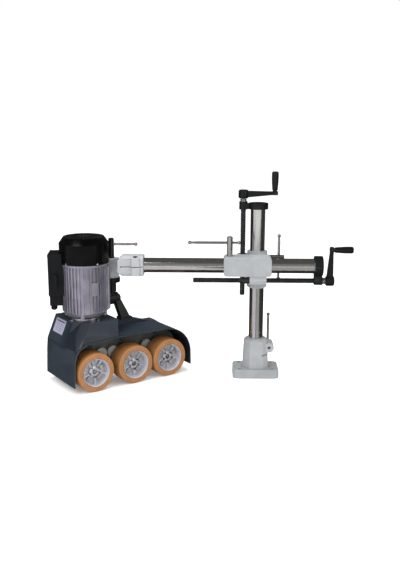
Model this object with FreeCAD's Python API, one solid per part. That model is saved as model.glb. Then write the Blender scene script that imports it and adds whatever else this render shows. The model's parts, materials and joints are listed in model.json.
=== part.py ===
import FreeCAD, Part
import math
import os

os.makedirs("parts", exist_ok=True)
V = FreeCAD.Vector

# ---------------------------------------------------------------- sizes, mm
# Clearances shared by every fit
shaft_play = 0.05
piece_gap = 0.3

# Stand: foot, pedestal, column and overarm
foot_width = 145.0
foot_depth = 98.0
foot_height = 27.5
bolt_pitch_x = 102.0
bolt_pitch_y = 69.0
bolt_hole_radius = 5.5
tube_radius = 22.5
tube_wall = 4.0
socket_floor = 10.0
socket_top = 123.0
socket_rim_radius = 30.3
cap_bottom = 534.0
cap_thickness = 18.0
cap_radius = 31.0

# Overarm position against the column axis
arm_y = -55.0
arm_z = 366.0
arm_left = -420.0
arm_cap_left = 172.0
arm_cap_width = 25.0

# Feed screws and their cranks
screw_radius = 8.0
journal_radius = 6.0
screw_offset = 45.5
lift_screw_bottom = 262.0
traverse_screw_left = -199.0
crank_radius = 96.0
crank_hub_radius = 15.5
grip_radius = 10.4
grip_length = 60.0
grip_pin_radius = 4.0

# Tommy bars and clamp studs
bar_radius = 3.9
bar_ball_radius = 5.3
stud_thread_radius = 5.0

# Swivel post, tilt joint and the yaw of the feed head
head_yaw = 36.0
post_x = -455.0
post_y = -10.0
post_radius = 8.7
spigot_radius = 14.0
knuckle_boss_radius = 23.0
tilt_z = 250.0
tilt_disc_radius = 19.0

# Feed wheels, in the head's own frame: x along the row, y to the rear
tyre_radius = 60.0
tyre_width = 60.0
hub_radius = 44.5
wheel_face_y = -120.4
wheel_x = {"left": -122.8, "mid": 13.8, "right": 137.4}
pivot_x = {"left": -72.0, "mid": -33.0, "right": 88.0}
pivot_z = 95.0
axle_radius = 7.0
drive_radius = 6.0
sleeve_radius = 10.0
arm_front_y = -57.0
arm_rear_y = -43.0
arm_wall = 2.0

# Hood
hood_wall = 3.5
hood_front_y = -113.4
hood_row_rear_y = -12.0
hood_rear_y = 84.0
hood_left_x = -194.0
hood_right_x = 223.0
hood_bottom = 22.0
plateau_z = 205.0
plateau_left_x = -157.0
slope_foot_z = 133.0
slope_run = 31.0
ridge_z = 187.0
ridge_front_y = -45.0

# Motor, stacked on the plateau and clear of the swivel post by post_room
cowl_radius = 75.0
post_room = 24.0
motor_x = -(cowl_radius + post_room)
motor_y = -11.0
flange_radius = 54.0
flange_height = 8.0
motor_core_radius = 66.0
motor_rib_radius = 71.0
motor_rib_count = 40
motor_bore_radius = 56.0
motor_top = 384.0
rotor_radius = 33.0
motor_shaft_radius = 9.0
bearing_radius = 20.0
cowl_bottom = 379.0
cowl_chamfer_z = 439.0
cowl_top = 458.0
cowl_flat_radius = 61.6
cowl_wall = 2.0

# Gear train inside the hood
cross_shaft_y = -27.0
cross_shaft_z = 122.0
cross_shaft_radius = 5.0
cross_worm_radius = 9.6
drive_gear_radius = 17.1
motor_worm_radius = 6.1
cross_gear_radius = 9.6


# ------------------------------------------------------------ small helpers
def cyl(radius, low, high, x=0.0, y=0.0):
    """Upright cylinder between two heights."""
    return Part.makeCylinder(radius, high - low, V(x, y, low), V(0, 0, 1))


def cyl_x(radius, low, high, y=0.0, z=0.0):
    """Cylinder along X."""
    return Part.makeCylinder(radius, high - low, V(low, y, z), V(1, 0, 0))


def cyl_y(radius, low, high, x=0.0, z=0.0):
    """Cylinder along Y."""
    return Part.makeCylinder(radius, high - low, V(x, low, z), V(0, 1, 0))


def block(x0, x1, y0, y1, z0, z1):
    """Box given by its six limits."""
    return Part.makeBox(x1 - x0, y1 - y0, z1 - z0, V(x0, y0, z0))


def join(first, *others):
    """One solid from several."""
    for other in others:
        first = first.fuse(other)
    return first.removeSplitter()


def cut(first, *others):
    """Take the other solids away from the first."""
    for other in others:
        first = first.cut(other)
    return first


def polygon(points):
    """Closed wire through 3-D points."""
    return Part.makePolygon([V(*p) for p in points] + [V(*points[0])])


def prism_y(outline, low, high):
    """Solid from an (x, z) outline carried along Y."""
    face = Part.Face(polygon([(x, low, z) for x, z in outline]))
    return face.extrude(V(0, high - low, 0))


def prism_x(outline, low, high):
    """Solid from a (y, z) outline carried along X."""
    face = Part.Face(polygon([(low, y, z) for y, z in outline]))
    return face.extrude(V(high - low, 0, 0))


def loft(*sections):
    """Solid with flat sides through point rings."""
    return Part.makeLoft([polygon(ring) for ring in sections], True, True)


def faceted(*rings):
    """Solid through level point rings, its sides split into triangles."""
    faces = [Part.Face(polygon(rings[0])), Part.Face(polygon(rings[-1]))]
    for lower, upper in zip(rings, rings[1:]):
        for index in range(len(lower)):
            after = (index + 1) % len(lower)
            faces.append(Part.Face(polygon([lower[index], lower[after], upper[after]])))
            faces.append(Part.Face(polygon([lower[index], upper[after], upper[index]])))
    solid = Part.Solid(Part.makeShell(faces))
    if solid.Volume < 0:
        solid.reverse()
    return solid.removeSplitter()


def turned(profile, x=0.0, y=0.0):
    """Solid of revolution about an upright axis from (radius, z) points."""
    ring = polygon([(r, 0, z) for r, z in profile])
    solid = Part.Face(ring).revolve(V(0, 0, 0), V(0, 0, 1), 360)
    solid.translate(V(x, y, 0))
    return solid


def octagon(half, flat, z):
    """Corner-cut square at a height."""
    pairs = [(flat, half), (half, flat)]
    ring = [(x, -y, z) for x, y in pairs]
    ring += [(x, y, z) for x, y in reversed(pairs)]
    ring += [(-x, y, z) for x, y in pairs]
    ring += [(-x, -y, z) for x, y in reversed(pairs)]
    return ring


def edges_along(shape, direction):
    """Straight edges that run along one direction."""
    found = []
    for edge in shape.Edges:
        if isinstance(edge.Curve, Part.Line):
            if abs(abs(edge.tangentAt(edge.FirstParameter).dot(direction)) - 1) < 1e-6:
                found.append(edge)
    return found


def save(name, shape):
    """Write one named piece."""
    if len(shape.Solids) == 1:
        shape = shape.Solids[0]
    shape.exportStep("parts/" + name + ".step")
    box = shape.BoundBox
    print(name, len(shape.Solids), shape.isValid(), round(box.XMin, 1), round(box.XMax, 1),
          round(box.YMin, 1), round(box.YMax, 1), round(box.ZMin, 1), round(box.ZMax, 1))


def save_in_head(name, shape):
    """Write one piece drawn in the head's frame."""
    shape = shape.copy()
    shape.rotate(V(0, 0, 0), V(0, 0, 1), head_yaw)
    shape.translate(V(post_x, post_y, 0))
    save(name, shape)


# ------------------------------------------------------------- base casting
ear_x = 42.0
ear_z = 95.0
ear_reach = 27.0
slit = 3.0
foot = block(-foot_width / 2, foot_width / 2, -foot_depth / 2, foot_depth / 2, 0, foot_height)
foot = foot.makeFillet(15.0, edges_along(foot, V(0, 0, 1)))
rim_edges = [e for e in foot.Edges if e.BoundBox.ZMin > foot_height - 0.01]
foot = foot.makeFillet(3.0, rim_edges)
tower = loft(octagon(40.5, 21.5, foot_height - 1), octagon(36.5, 19.5, socket_top - 9))
shoulder = loft(octagon(36.5, 19.5, socket_top - 9), octagon(31.0, 16.5, socket_top - 3))
rim = cyl(socket_rim_radius, foot_height, socket_top)
ears = cyl_y(15.5, -ear_reach, ear_reach, ear_x, ear_z)
ear_root = block(20, ear_x, -ear_reach, ear_reach, ear_z - 13, ear_z + 13)
base = join(foot, tower, shoulder, rim, ears, ear_root)
base = cut(base, cyl(tube_radius + shaft_play, socket_floor, socket_top + 1))
base = cut(base, block(18, 70, -slit / 2, slit / 2, ear_z - 23, socket_top + 5))
base = cut(base, block(18, 70, -foot_depth / 2, slit / 2, ear_z - 23 - slit / 2, ear_z - 23 + slit / 2))
base = cut(base, cyl_y(stud_thread_radius, -ear_reach - 1, ear_reach + 1, ear_x, ear_z))
for sx in (-1, 1):
    for sy in (-1, 1):
        hole = cyl(bolt_hole_radius, -1, foot_height + 1, sx * bolt_pitch_x / 2, sy * bolt_pitch_y / 2)
        base = cut(base, hole)
save("base_casting", base)


def tommy_stud(thread_len, head_start, head_len, head_radius, hole_at, thread_radius):
    """Clamp stud along +Z from its seat, with a cross hole along X."""
    stud = cyl(thread_radius, -thread_len, head_start)
    head = cyl(head_radius, head_start, head_start + head_len)
    top_edges = [e for e in head.Edges if e.BoundBox.ZMin > head_start + head_len - 0.01]
    head = head.makeFillet(head_radius * 0.45, top_edges)
    stud = join(stud, head)
    return cut(stud, cyl_x(bar_radius + shaft_play, -30, 30, 0, hole_at))


def tommy_bar(low, high):
    """Bar along X with a ball on each end."""
    bar = cyl_x(bar_radius * 0.86, low, high)
    middle = cyl_x(bar_radius, low + 16, high - 16)
    left = Part.makeSphere(bar_ball_radius, V(low, 0, 0))
    right = Part.makeSphere(bar_ball_radius, V(high, 0, 0))
    return join(bar, middle, left, right)


# Base stud lies along +Y, its bar stands upright
base_bar_y = 45.0
stud = tommy_stud(ear_reach + 16, piece_gap, 27.0, 8.0, base_bar_y - ear_reach, stud_thread_radius - shaft_play)
stud.rotate(V(0, 0, 0), V(0, 0, 1), 90)
stud.rotate(V(0, 0, 0), V(1, 0, 0), -90)
stud.translate(V(ear_x, ear_reach, ear_z))
save("base_stud", stud)
bar = tommy_bar(-33.0, 92.0)
bar.rotate(V(0, 0, 0), V(0, 1, 0), -90)
bar.translate(V(ear_x, base_bar_y, ear_z))
save("base_bar", bar)

# ------------------------------------------------- column, cap, lift screw
tube_bore = tube_radius - tube_wall
column = cut(cyl(tube_radius, socket_floor, cap_bottom + 12), cyl(tube_bore, 0, cap_bottom + 60))
save("column_tube", column)

screw_boss_radius = 13.0
lift_boss_bottom = cap_bottom - 1.5
lift_boss_top = cap_bottom + 22.0
cap = cyl(cap_radius, cap_bottom, cap_bottom + cap_thickness)
cap = cap.makeFillet(2.0, [e for e in cap.Edges if e.BoundBox.ZMin > cap_bottom + 1])
cap = join(cap, cyl(screw_boss_radius, lift_boss_bottom, lift_boss_top, -screw_offset, 0),
           block(-screw_offset, 0, -screw_boss_radius, screw_boss_radius, cap_bottom, cap_bottom + cap_thickness - 2))
cap = cut(cap, cyl(tube_radius, cap_bottom - 1, cap_bottom + 12))
cap = cut(cap, cyl(journal_radius + shaft_play, cap_bottom - 34, cap_bottom + 66, -screw_offset, 0))
save("column_cap", cap)

collar_length = 7.2
crank_low = lift_boss_top + 10.0
crank_high = crank_low + 26.0


def screw(low, shoulder_at, end, collar_start, collar_end):
    """Feed screw along +Z with a thrust shoulder, journal and collar."""
    body = cyl(screw_radius, low, shoulder_at - piece_gap)
    body = body.makeChamfer(1.2, [e for e in body.Edges if e.BoundBox.ZMax < low + 1])
    return join(body, cyl(journal_radius, low, end), cyl(screw_radius + 2.4, collar_start, collar_end))


lift_screw = screw(lift_screw_bottom, lift_boss_bottom, crank_high - 5, lift_boss_top + piece_gap,
                   lift_boss_top + piece_gap + collar_length)
lift_screw.translate(V(-screw_offset, 0, 0))
save("lift_screw", lift_screw)


def crank():
    """Crank about Z at the origin: hub from 0 to 26, arm towards +X, grip pin upwards."""
    hub = cyl(crank_hub_radius, 0, 26)
    hub = hub.makeChamfer(3.0, [e for e in hub.Edges if e.BoundBox.ZMin > 25 or e.BoundBox.ZMax < 1])
    near = [(8, -8.5, 3), (8, 8.5, 3), (8, 8.5, 22.5), (8, -8.5, 22.5)]
    far = [(crank_radius - 4, -6, 11), (crank_radius - 4, 6, 11), (crank_radius - 4, 6, 21), (crank_radius - 4, -6, 21)]
    web = loft(near, far)
    eye = cyl(9.8, 10.5, 21.5, crank_radius, 0)
    pin = cyl(grip_pin_radius, 21, 21.5 + grip_length - 8, crank_radius, 0)
    seat = cyl(6.4, 21, 24.5, crank_radius, 0)
    return cut(join(hub, web, eye, seat, pin), cyl(journal_radius, -1, 21))


def grip():
    """Turned grip standing on the crank's pin."""
    base_z = 24.5 + piece_gap
    top = base_z + grip_length - 3
    outline = [(0, base_z), (7.6, base_z), (8.6, base_z + 3), (9.2, base_z + 16), (grip_radius, base_z + 36),
               (grip_radius, top - 3), (grip_radius - 2.5, top), (0, top)]
    body = turned(outline, crank_radius, 0)
    hollow = cyl(grip_pin_radius + shaft_play, base_z - 1, base_z + grip_length - 11, crank_radius, 0)
    return cut(body, hollow)


lift_crank = crank()
lift_crank.translate(V(-screw_offset, 0, crank_low))
save("lift_crank", lift_crank)
lift_grip = grip()
lift_grip.translate(V(-screw_offset, 0, crank_low))
save("lift_grip", lift_grip)

# ------------------------------------------------------ carriage on column
block_left = -105.0
block_right = 40.0
block_front = -85.0
block_bottom = 337.0
block_top = 395.5
collar_bottom = 287.5
collar_top = 403.0
collar_radius = 31.0
nut_radius = 12.0
nut_bottom = 345.0
lug_half = 25.5
traverse_z = arm_z - screw_offset - 0.5
cross = block(block_left, block_right, block_front, arm_y + 30, block_bottom, block_top)
cross = cross.makeFillet(9.0, edges_along(cross, V(0, 1, 0)))
front_edges = [e for e in cross.Edges if e.BoundBox.YMax < block_front + 0.01]
cross = cross.makeFillet(2.5, front_edges)
sleeve = cyl(collar_radius, collar_bottom, collar_top)
sleeve = sleeve.makeChamfer(4.0, [e for e in sleeve.Edges if e.BoundBox.ZMax < collar_bottom + 1])
cheek = block(-screw_offset - 17, collar_radius, arm_y + 28, 0, block_bottom + 2, block_top - 2)
nut_boss = cyl(17.0, block_bottom + 2, block_top - 2, -screw_offset, 0)
lug = join(cyl_x(13.0, -lug_half, lug_half, arm_y, traverse_z),
           block(-lug_half, lug_half, arm_y - 17, arm_y + 13, traverse_z, block_bottom + 5),
           block(-lug_half, lug_half, arm_y, -20, traverse_z - 4, block_bottom + 5))
cross = join(cross, sleeve, cheek, nut_boss, lug)
cross = cut(cross, cyl(tube_radius + shaft_play, 200, 500))
cross = cut(cross, cyl_x(tube_radius + shaft_play, -200, 200, arm_y, arm_z))
cross = cut(cross, cyl(nut_radius, nut_bottom, 500, -screw_offset, 0))
cross = cut(cross, cyl(screw_radius + 1, 300, 500, -screw_offset, 0))
traverse_nut_radius = 10.2
cross = cut(cross, cyl_x(traverse_nut_radius, -60, 60, arm_y, traverse_z))
arm_stud_x = -87.0
column_stud_z = 383.0
arm_stud_thread = 6.0
cross = cut(cross, cyl(arm_stud_thread, arm_z, 450, arm_stud_x, arm_y))
cross = cut(cross, cyl_x(stud_thread_radius, 0, 100, 0, column_stud_z))
save("cross_block", cross)

lift_nut = cut(cyl(nut_radius, nut_bottom, block_top - 2, -screw_offset, 0),
               cyl(screw_radius + shaft_play, 300, 500, -screw_offset, 0))
save("lift_nut", lift_nut)
traverse_nut = cut(cyl_x(traverse_nut_radius, -54, lug_half, arm_y, traverse_z),
                   cyl_x(screw_radius + shaft_play, -100, 100, arm_y, traverse_z))
save("traverse_nut", traverse_nut)

arm_stud = tommy_stud(block_top - arm_z - tube_radius - piece_gap, piece_gap, 60.0, 8.7, 41.0,
                      arm_stud_thread - shaft_play)
arm_stud.translate(V(arm_stud_x, arm_y, block_top))
save("arm_stud", arm_stud)
bar = tommy_bar(-122.0, 28.0)
bar.translate(V(arm_stud_x, arm_y, block_top + 41.0))
save("arm_bar", bar)

column_stud = tommy_stud(collar_radius - tube_radius - piece_gap, piece_gap, 53.0, 7.0, 36.0,
                         stud_thread_radius - shaft_play)
column_stud.rotate(V(0, 0, 0), V(0, 1, 0), 90)
column_stud.translate(V(collar_radius, 0, column_stud_z))
save("column_stud", column_stud)
bar = tommy_bar(-67.0, 67.0)
bar.rotate(V(0, 0, 0), V(0, 1, 0), -90)
bar.translate(V(collar_radius + 36.0, 0, column_stud_z))
save("column_bar", bar)

# ------------------------------------------------ overarm, traverse screw
arm_cap_right = arm_cap_left + arm_cap_width
overarm = cut(cyl_x(tube_radius, arm_left, arm_cap_left + 18, arm_y, arm_z),
              cyl_x(tube_bore, arm_left - 1, arm_cap_left + 19, arm_y, arm_z))
save("arm_tube", overarm)

cap = cyl_x(cap_radius, arm_cap_left, arm_cap_right, arm_y, arm_z)
cap = cap.makeFillet(3.0, [e for e in cap.Edges if e.BoundBox.XMin > arm_cap_right - 1])
cap = join(cap, cyl_x(screw_boss_radius, arm_cap_left, arm_cap_right, arm_y, traverse_z),
           block(arm_cap_left, arm_cap_right - 2, arm_y - screw_boss_radius, arm_y + screw_boss_radius, traverse_z, arm_z))
cap = cut(cap, cyl_x(tube_radius, arm_cap_left - 1, arm_cap_left + 18, arm_y, arm_z))
cap = cut(cap, cyl_x(journal_radius + shaft_play, 100, 300, arm_y, traverse_z))
save("arm_cap", cap)

traverse_hub = 207.0


def lay_along_arm(shape, at_x):
    """Turn a piece drawn along +Z so that it lies along +X, its +X side up."""
    shape.rotate(V(0, 0, 0), V(0, 0, 1), 180)
    shape.rotate(V(0, 0, 0), V(0, 1, 0), 90)
    shape.translate(V(at_x, arm_y, traverse_z))
    return shape


traverse_screw = screw(traverse_screw_left, arm_cap_left, traverse_hub + 21, arm_cap_right + piece_gap, 204.5)
save("traverse_screw", lay_along_arm(traverse_screw, 0))
save("traverse_crank", lay_along_arm(crank(), traverse_hub))
save("traverse_grip", lay_along_arm(grip(), traverse_hub))

# ------------------------------------------------------- knuckle casting
knuckle_right = -350.0
knuckle_left = -427.0
knuckle_low = 336.0
knuckle_high = 397.0
boss_low = 319.0
boss_high = 379.0
clamp = block(knuckle_left, knuckle_right, -85, -25, knuckle_low, knuckle_high)
clamp = clamp.makeChamfer(7.0, edges_along(clamp, V(1, 0, 0)))
left_edges = [e for e in edges_along(clamp, V(0, 1, 0)) if e.BoundBox.XMax < knuckle_left + 1]
clamp = clamp.makeChamfer(12.0, left_edges)
clamp_bolt_x = -373.0
clamp_bolt_radius = 5.0
clamp_head_radius = 7.0
clamp_bolt_gap = 0.5
clamp_bolt_y = arm_y - tube_radius - clamp_bolt_gap - clamp_bolt_radius
pad_front = clamp_bolt_y - clamp_head_radius - 1.5
bolt_pad = block(-386, -360, pad_front, -84, knuckle_low + 2, knuckle_high - 2)
bolt_pad = bolt_pad.makeChamfer(2.5, [e for e in bolt_pad.Edges if e.BoundBox.YMax < pad_front + 0.1])
boss = cyl(knuckle_boss_radius, boss_low, boss_high, post_x, post_y)
web = loft([(-427, -66, 345), (-427, -28, 345), (-427, -28, 390), (-427, -66, 390)],
           [(-460, -22, 326), (-448, 6, 326), (-448, 6, 372), (-460, -22, 372)])
bridge = block(-452, -415, -34, -9, 338, 374)
knuckle = join(clamp, bolt_pad, boss, bridge)
knuckle = cut(knuckle, cyl_x(tube_radius + shaft_play, arm_left - piece_gap, -300, arm_y, arm_z))
knuckle = cut(knuckle, cyl(spigot_radius + shaft_play, 300, 374, post_x, post_y))
knuckle = cut(knuckle, cyl(post_radius + shaft_play, 300, 400, post_x, post_y))
slot_z = arm_z - 0.5
knuckle = cut(knuckle, block(-416, -340, -100, arm_y, slot_z - 1.2, slot_z + 1.2))
knuckle = cut(knuckle, cyl_y(3.2, -100, arm_y - 18, -416, slot_z))
knuckle = cut(knuckle, cyl(clamp_bolt_radius + shaft_play, knuckle_low - 5, knuckle_high + 5, clamp_bolt_x, clamp_bolt_y))
knuckle = cut(knuckle, cyl(clamp_head_radius + 0.2, knuckle_high - 8, knuckle_high + 5, clamp_bolt_x, clamp_bolt_y))
save("knuckle", knuckle)
bolt = join(cyl(clamp_bolt_radius, knuckle_low + 4, knuckle_high - 6, clamp_bolt_x, clamp_bolt_y),
            cyl(clamp_head_radius, knuckle_high - 8, knuckle_high, clamp_bolt_x, clamp_bolt_y))
socket_ring = [(clamp_bolt_x + 4.0 * math.cos(math.radians(a)), clamp_bolt_y + 4.0 * math.sin(math.radians(a)),
                knuckle_high - 5) for a in range(0, 360, 60)]
socket = Part.Face(polygon(socket_ring)).extrude(V(0, 0, 10))
save("knuckle_bolt", cut(bolt, socket))

# ------------------------------------ swivel post, its bracket and its stud
flange_low = 303.0
flange_high = boss_low - piece_gap
tongue = 15.0
spigot = cyl(spigot_radius, flange_low, 372)
collar = cyl(25.6, flange_low, flange_high)
collar = collar.makeFillet(3.0, [e for e in collar.Edges if e.BoundBox.ZMax < flange_low + 1])
neck = cyl(13.0, tilt_z + 6, flange_low)
tongue_disc = cyl_x(tilt_disc_radius, -tongue, 0, 0, tilt_z)
tongue_root = block(-tongue, 0, -13, 13, tilt_z, tilt_z + 20)
swivel = join(spigot, collar, neck, tongue_disc, tongue_root)
swivel = cut(swivel, block(0, 40, -40, 40, tilt_z - 30, tilt_z + tilt_disc_radius + 4))
swivel = cut(swivel, cyl_x(6.0, -40, 40, 0, tilt_z))
swivel = cut(swivel, cyl(stud_thread_radius, 340, 380))
save_in_head("swivel_bracket", swivel)

stud = cyl(stud_thread_radius - shaft_play, 345, 374 - piece_gap)
post = cyl(post_radius, 372 + piece_gap, 442)
post = post.makeFillet(3.5, [e for e in post.Edges if e.BoundBox.ZMin > 441])
stud = join(stud, post)
bar_z = 423.0
stud = cut(stud, cyl_x(bar_radius + shaft_play, -30, 30, 0, bar_z))
stud.translate(V(post_x, post_y, 0))
save("swivel_stud", stud)
bar = tommy_bar(-15.5, 77.0)
bar.translate(V(post_x, post_y, bar_z))
save("swivel_bar", bar)

tilt_bolt = join(cyl_x(6.0, -tongue - 1, tongue + 12, 0, tilt_z), cyl_x(10.5, -tongue - 9, -tongue, 0, tilt_z))
save_in_head("tilt_bolt", tilt_bolt)

foot_x0 = 6.0
foot_x1 = 46.0
foot_y0 = ridge_front_y + 2
foot_y1 = hood_row_rear_y - 1
disc = cyl_x(tilt_disc_radius, piece_gap, tongue + 1, 0, tilt_z)
nut_boss = cyl_x(11.0, tongue, tongue + 9, 0, tilt_z)
limb = loft([(piece_gap, -13, tilt_z + 8), (17, -13, tilt_z + 8), (17, 13, tilt_z + 8), (piece_gap, 13, tilt_z + 8)],
            [(12, foot_y0 + 3, ridge_z), (foot_x1 - 2, foot_y0 + 3, ridge_z), (foot_x1 - 2, foot_y1 - 3, ridge_z),
             (12, foot_y1 - 3, ridge_z)])
pad = block(foot_x0, foot_x1, foot_y0, foot_y1, ridge_z, ridge_z + 7)
bracket = join(disc, nut_boss, limb, pad)
bracket = cut(bracket, cyl_x(6.0 + shaft_play, -40, 60, 0, tilt_z))
save_in_head("head_bracket", bracket)


# ------------------------------------------------------------------- hood
def row_outline(inset):
    """(x, z) outline of the wheel hood, seen from the front."""
    left = hood_left_x + inset
    right = hood_right_x - inset
    points = [(left, hood_bottom), (left + 3, 98), (left + 9, 122 - inset * 0.4)]
    points += [(left + 20, 138 - inset * 0.8), (left + 42, 151 - inset)]
    points += [(-42.0, 158 - inset), (60.0, 155 - inset), (136.0, 154 - inset)]
    for angle in (80, 68, 56, 44, 32, 20, 8):
        a = math.radians(angle)
        points.append((136 + (right - 136) * math.cos(a), 62 + (92 - inset) * math.sin(a)))
    points += [(right, hood_bottom)]
    return points


def tower_ring(inset, z, left, crease_y, chamfer, front_left, right, front):
    """Corners of the motor's tower at one height, from the rear left round to the rear right."""
    rear = hood_rear_y - inset
    ring = [(left + inset, rear), (left + inset, crease_y), (chamfer[0] + inset, chamfer[1])]
    ring += [(front_left + inset, front + inset), (right - inset, front + inset), (right - inset, rear)]
    return [(x, y, z) for x, y in ring]


def slope_x(z):
    """Left slope of the hood at a height."""
    return plateau_left_x - (plateau_z - z) * slope_run / (plateau_z - slope_foot_z)


def tower_solid(inset):
    """Body under the motor: rings with flat sides that narrow to the plateau."""
    foot_x = slope_x(slope_foot_z)
    foot = tower_ring(inset, 98, -191, -46, (-191, -106), -184, -42, -113)
    low = tower_ring(inset, slope_foot_z, foot_x, -46, (-181, -104), -172, -42, -112)
    mid = tower_ring(inset, 172, slope_x(172), -43, (-166, -74), -150, -38, -105)
    top = tower_ring(inset, plateau_z - inset, plateau_left_x, -40, (-140, -60), -120, -27, -83)
    return faceted(foot, low, mid, top)


def ridge_solid(inset):
    """Raised rear strip of the row and the sloping deck before it."""
    rear = hood_row_rear_y - inset
    front = ridge_front_y + inset
    deck = [(hood_front_y + 0.5 - inset, 140), (rear, 140), (rear, 171 - inset), (-48, 171 - inset),
            (hood_front_y + 0.5 - inset, 155.2 - inset)]
    slope = [(-60, 140), (150, 140), (128, 171 - inset), (-60, 171 - inset)]
    strip = [(-60, 140), (150, 140), (139 - inset, 155 - inset), (125 - inset, 163.5 - inset),
             (50, ridge_z - inset), (-60, ridge_z - inset)]
    deck_solid = prism_x(deck, -60, 150).common(prism_y(slope, -130, 30))
    return deck_solid.fuse(prism_y(strip, front, rear))


outer = prism_y(row_outline(0), hood_front_y, hood_row_rear_y)
rear_outline = [(hood_left_x, hood_bottom), (hood_left_x + 3, 98), (slope_x(slope_foot_z), slope_foot_z),
                (-42, slope_foot_z), (-42, hood_bottom)]
outer = outer.fuse(prism_y(rear_outline, hood_row_rear_y - 20, hood_rear_y))
outer = outer.fuse(tower_solid(0)).fuse(ridge_solid(0))
w = hood_wall
inner = prism_y([(x, z - 10 if z == hood_bottom else z) for x, z in row_outline(w)],
                hood_front_y - 1, hood_row_rear_y - w)
rear_inner = [(hood_left_x + w, hood_bottom - 10), (hood_left_x + w + 3, 98),
              (slope_x(slope_foot_z) + w, slope_foot_z + 1), (-42 - w, slope_foot_z + 1), (-42 - w, hood_bottom - 10)]
inner = inner.fuse(prism_y(rear_inner, hood_row_rear_y - 25, hood_rear_y - w))
inner = inner.fuse(tower_solid(w)).fuse(ridge_solid(w))
hood = outer.cut(inner)
hood = cut(hood, cyl(motor_shaft_radius + 3, 190, 230, motor_x, motor_y))
bracket_bolts = [(13.0, foot_y0 + 8), (39.0, foot_y0 + 8), (13.0, foot_y1 - 8), (39.0, foot_y1 - 8)]
save_in_head("hood", hood)

# Gear case: front plate, floor and shaft bearings
plate_y0 = -41.0
plate_y1 = -37.0
case_gap = piece_gap
plate_outline = [(hood_left_x + w + 0.8, 32), (hood_left_x + w + 3.8, 98), (hood_left_x + w + 14, 124), (hood_left_x + w + 46, 145),
                 (128, 145), (168, 136), (196, 112), (hood_right_x - w - 2, 70), (hood_right_x - w - 0.3, 32)]
case = prism_y(plate_outline, plate_y0, plate_y1)
case_left = hood_left_x + w + 1.6
case = join(case, block(case_left, hood_right_x - w - 0.3, plate_y0, hood_row_rear_y - w - 0.3, 30, 34))
case = join(case, block(case_left, -42 - w - 0.3, plate_y0, hood_rear_y - w - 0.3, 30, 34))
for pedestal in ((-128, -120), (-14, -4), (112, 120)):
    case = join(case, cyl_x(11, pedestal[0], pedestal[1], cross_shaft_y, cross_shaft_z),
                block(pedestal[0], pedestal[1], plate_y1 - 1, cross_shaft_y, cross_shaft_z - 9, cross_shaft_z + 9))
for side in pivot_x:
    case = join(case, cyl_y(sleeve_radius, -47, plate_y1 + 3, pivot_x[side], pivot_z))
for side in pivot_x:
    case = cut(case, cyl_y(drive_radius + shaft_play, -80, 0, pivot_x[side], pivot_z))
case = cut(case, cyl_x(cross_shaft_radius + 0.1, -200, 200, cross_shaft_y, cross_shaft_z))
save_in_head("gear_case", case)

# Rating plate on the leaning left wall
lean = math.degrees(math.atan(slope_run / (plateau_z - slope_foot_z)))
plate = block(-0.8, 0, -33, 33, -22, 22)
plate.rotate(V(0, 0, 0), V(0, 1, 0), lean)
plate_z = 178.0
plate.translate(V(slope_x(plate_z) - 0.05, 31, plate_z))
save_in_head("rating_plate", plate)

# ------------------------------------------------------------------ motor
ring = cut(cyl(flange_radius, plateau_z, plateau_z + flange_height, motor_x, motor_y),
           cyl(bearing_radius, 190, 230, motor_x, motor_y))
ring = ring.makeFillet(2.0, [e for e in ring.Edges if e.BoundBox.ZMin > plateau_z + 7 and e.BoundBox.XLength > 90])
save_in_head("motor_flange", ring)

body_low = plateau_z + flange_height
shell = turned([(0, body_low), (50, body_low), (60, body_low + 6), (motor_core_radius, body_low + 18),
                (motor_core_radius, motor_top), (0, motor_top)], motor_x, motor_y)
for index in range(motor_rib_count):
    rib = block(motor_core_radius - 2, motor_rib_radius, -1.6, 1.6, body_low + 18, motor_top - 12)
    rib.rotate(V(0, 0, 0), V(0, 0, 1), (index + 0.5) * 360.0 / motor_rib_count)
    rib.translate(V(motor_x, motor_y, 0))
    shell = shell.fuse(rib)
rim = cyl(cowl_radius - cowl_wall, motor_top - 12, motor_top, motor_x, motor_y)
shell = shell.fuse(rim)
for angle in (-36 - 90, -36, 54, 144):
    a = math.radians(angle)
    lug = cyl(7.0, body_low, body_low + 24, motor_x + 58 * math.cos(a), motor_y + 58 * math.sin(a))
    shell = shell.fuse(lug)
pad = block(motor_core_radius - 4, 75.5, -8, 8, body_low + 22, motor_top - 16)
pad.rotate(V(0, 0, 0), V(0, 0, 1), -36)
pad.translate(V(motor_x, motor_y, 0))
shell = shell.fuse(pad).removeSplitter()
shell = cut(shell, cyl(motor_bore_radius, body_low + 20, motor_top - 14, motor_x, motor_y))
shell = cut(shell, cyl(bearing_radius, body_low + 8, body_low + 21, motor_x, motor_y))
shell = cut(shell, cyl(bearing_radius, motor_top - 15, motor_top - 4, motor_x, motor_y))
shell = cut(shell, cyl(motor_shaft_radius + 2, 200, 400, motor_x, motor_y))
save_in_head("motor_body", shell)

stator = cut(cyl(motor_bore_radius, 258, 342, motor_x, motor_y), cyl(rotor_radius + 0.8, 200, 400, motor_x, motor_y))
for z in (248, 342):
    stator = join(stator, cut(cyl(52, z, z + 10, motor_x, motor_y), cyl(38, z - 1, z + 11, motor_x, motor_y)))
save_in_head("stator", stator)

shaft_low = cross_shaft_z - 14
rotor = join(cyl(motor_shaft_radius, 160, 422, motor_x, motor_y), cyl(rotor_radius, 260, 340, motor_x, motor_y),
             cyl(motor_worm_radius, shaft_low, 170, motor_x, motor_y))
save_in_head("rotor", rotor)

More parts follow.
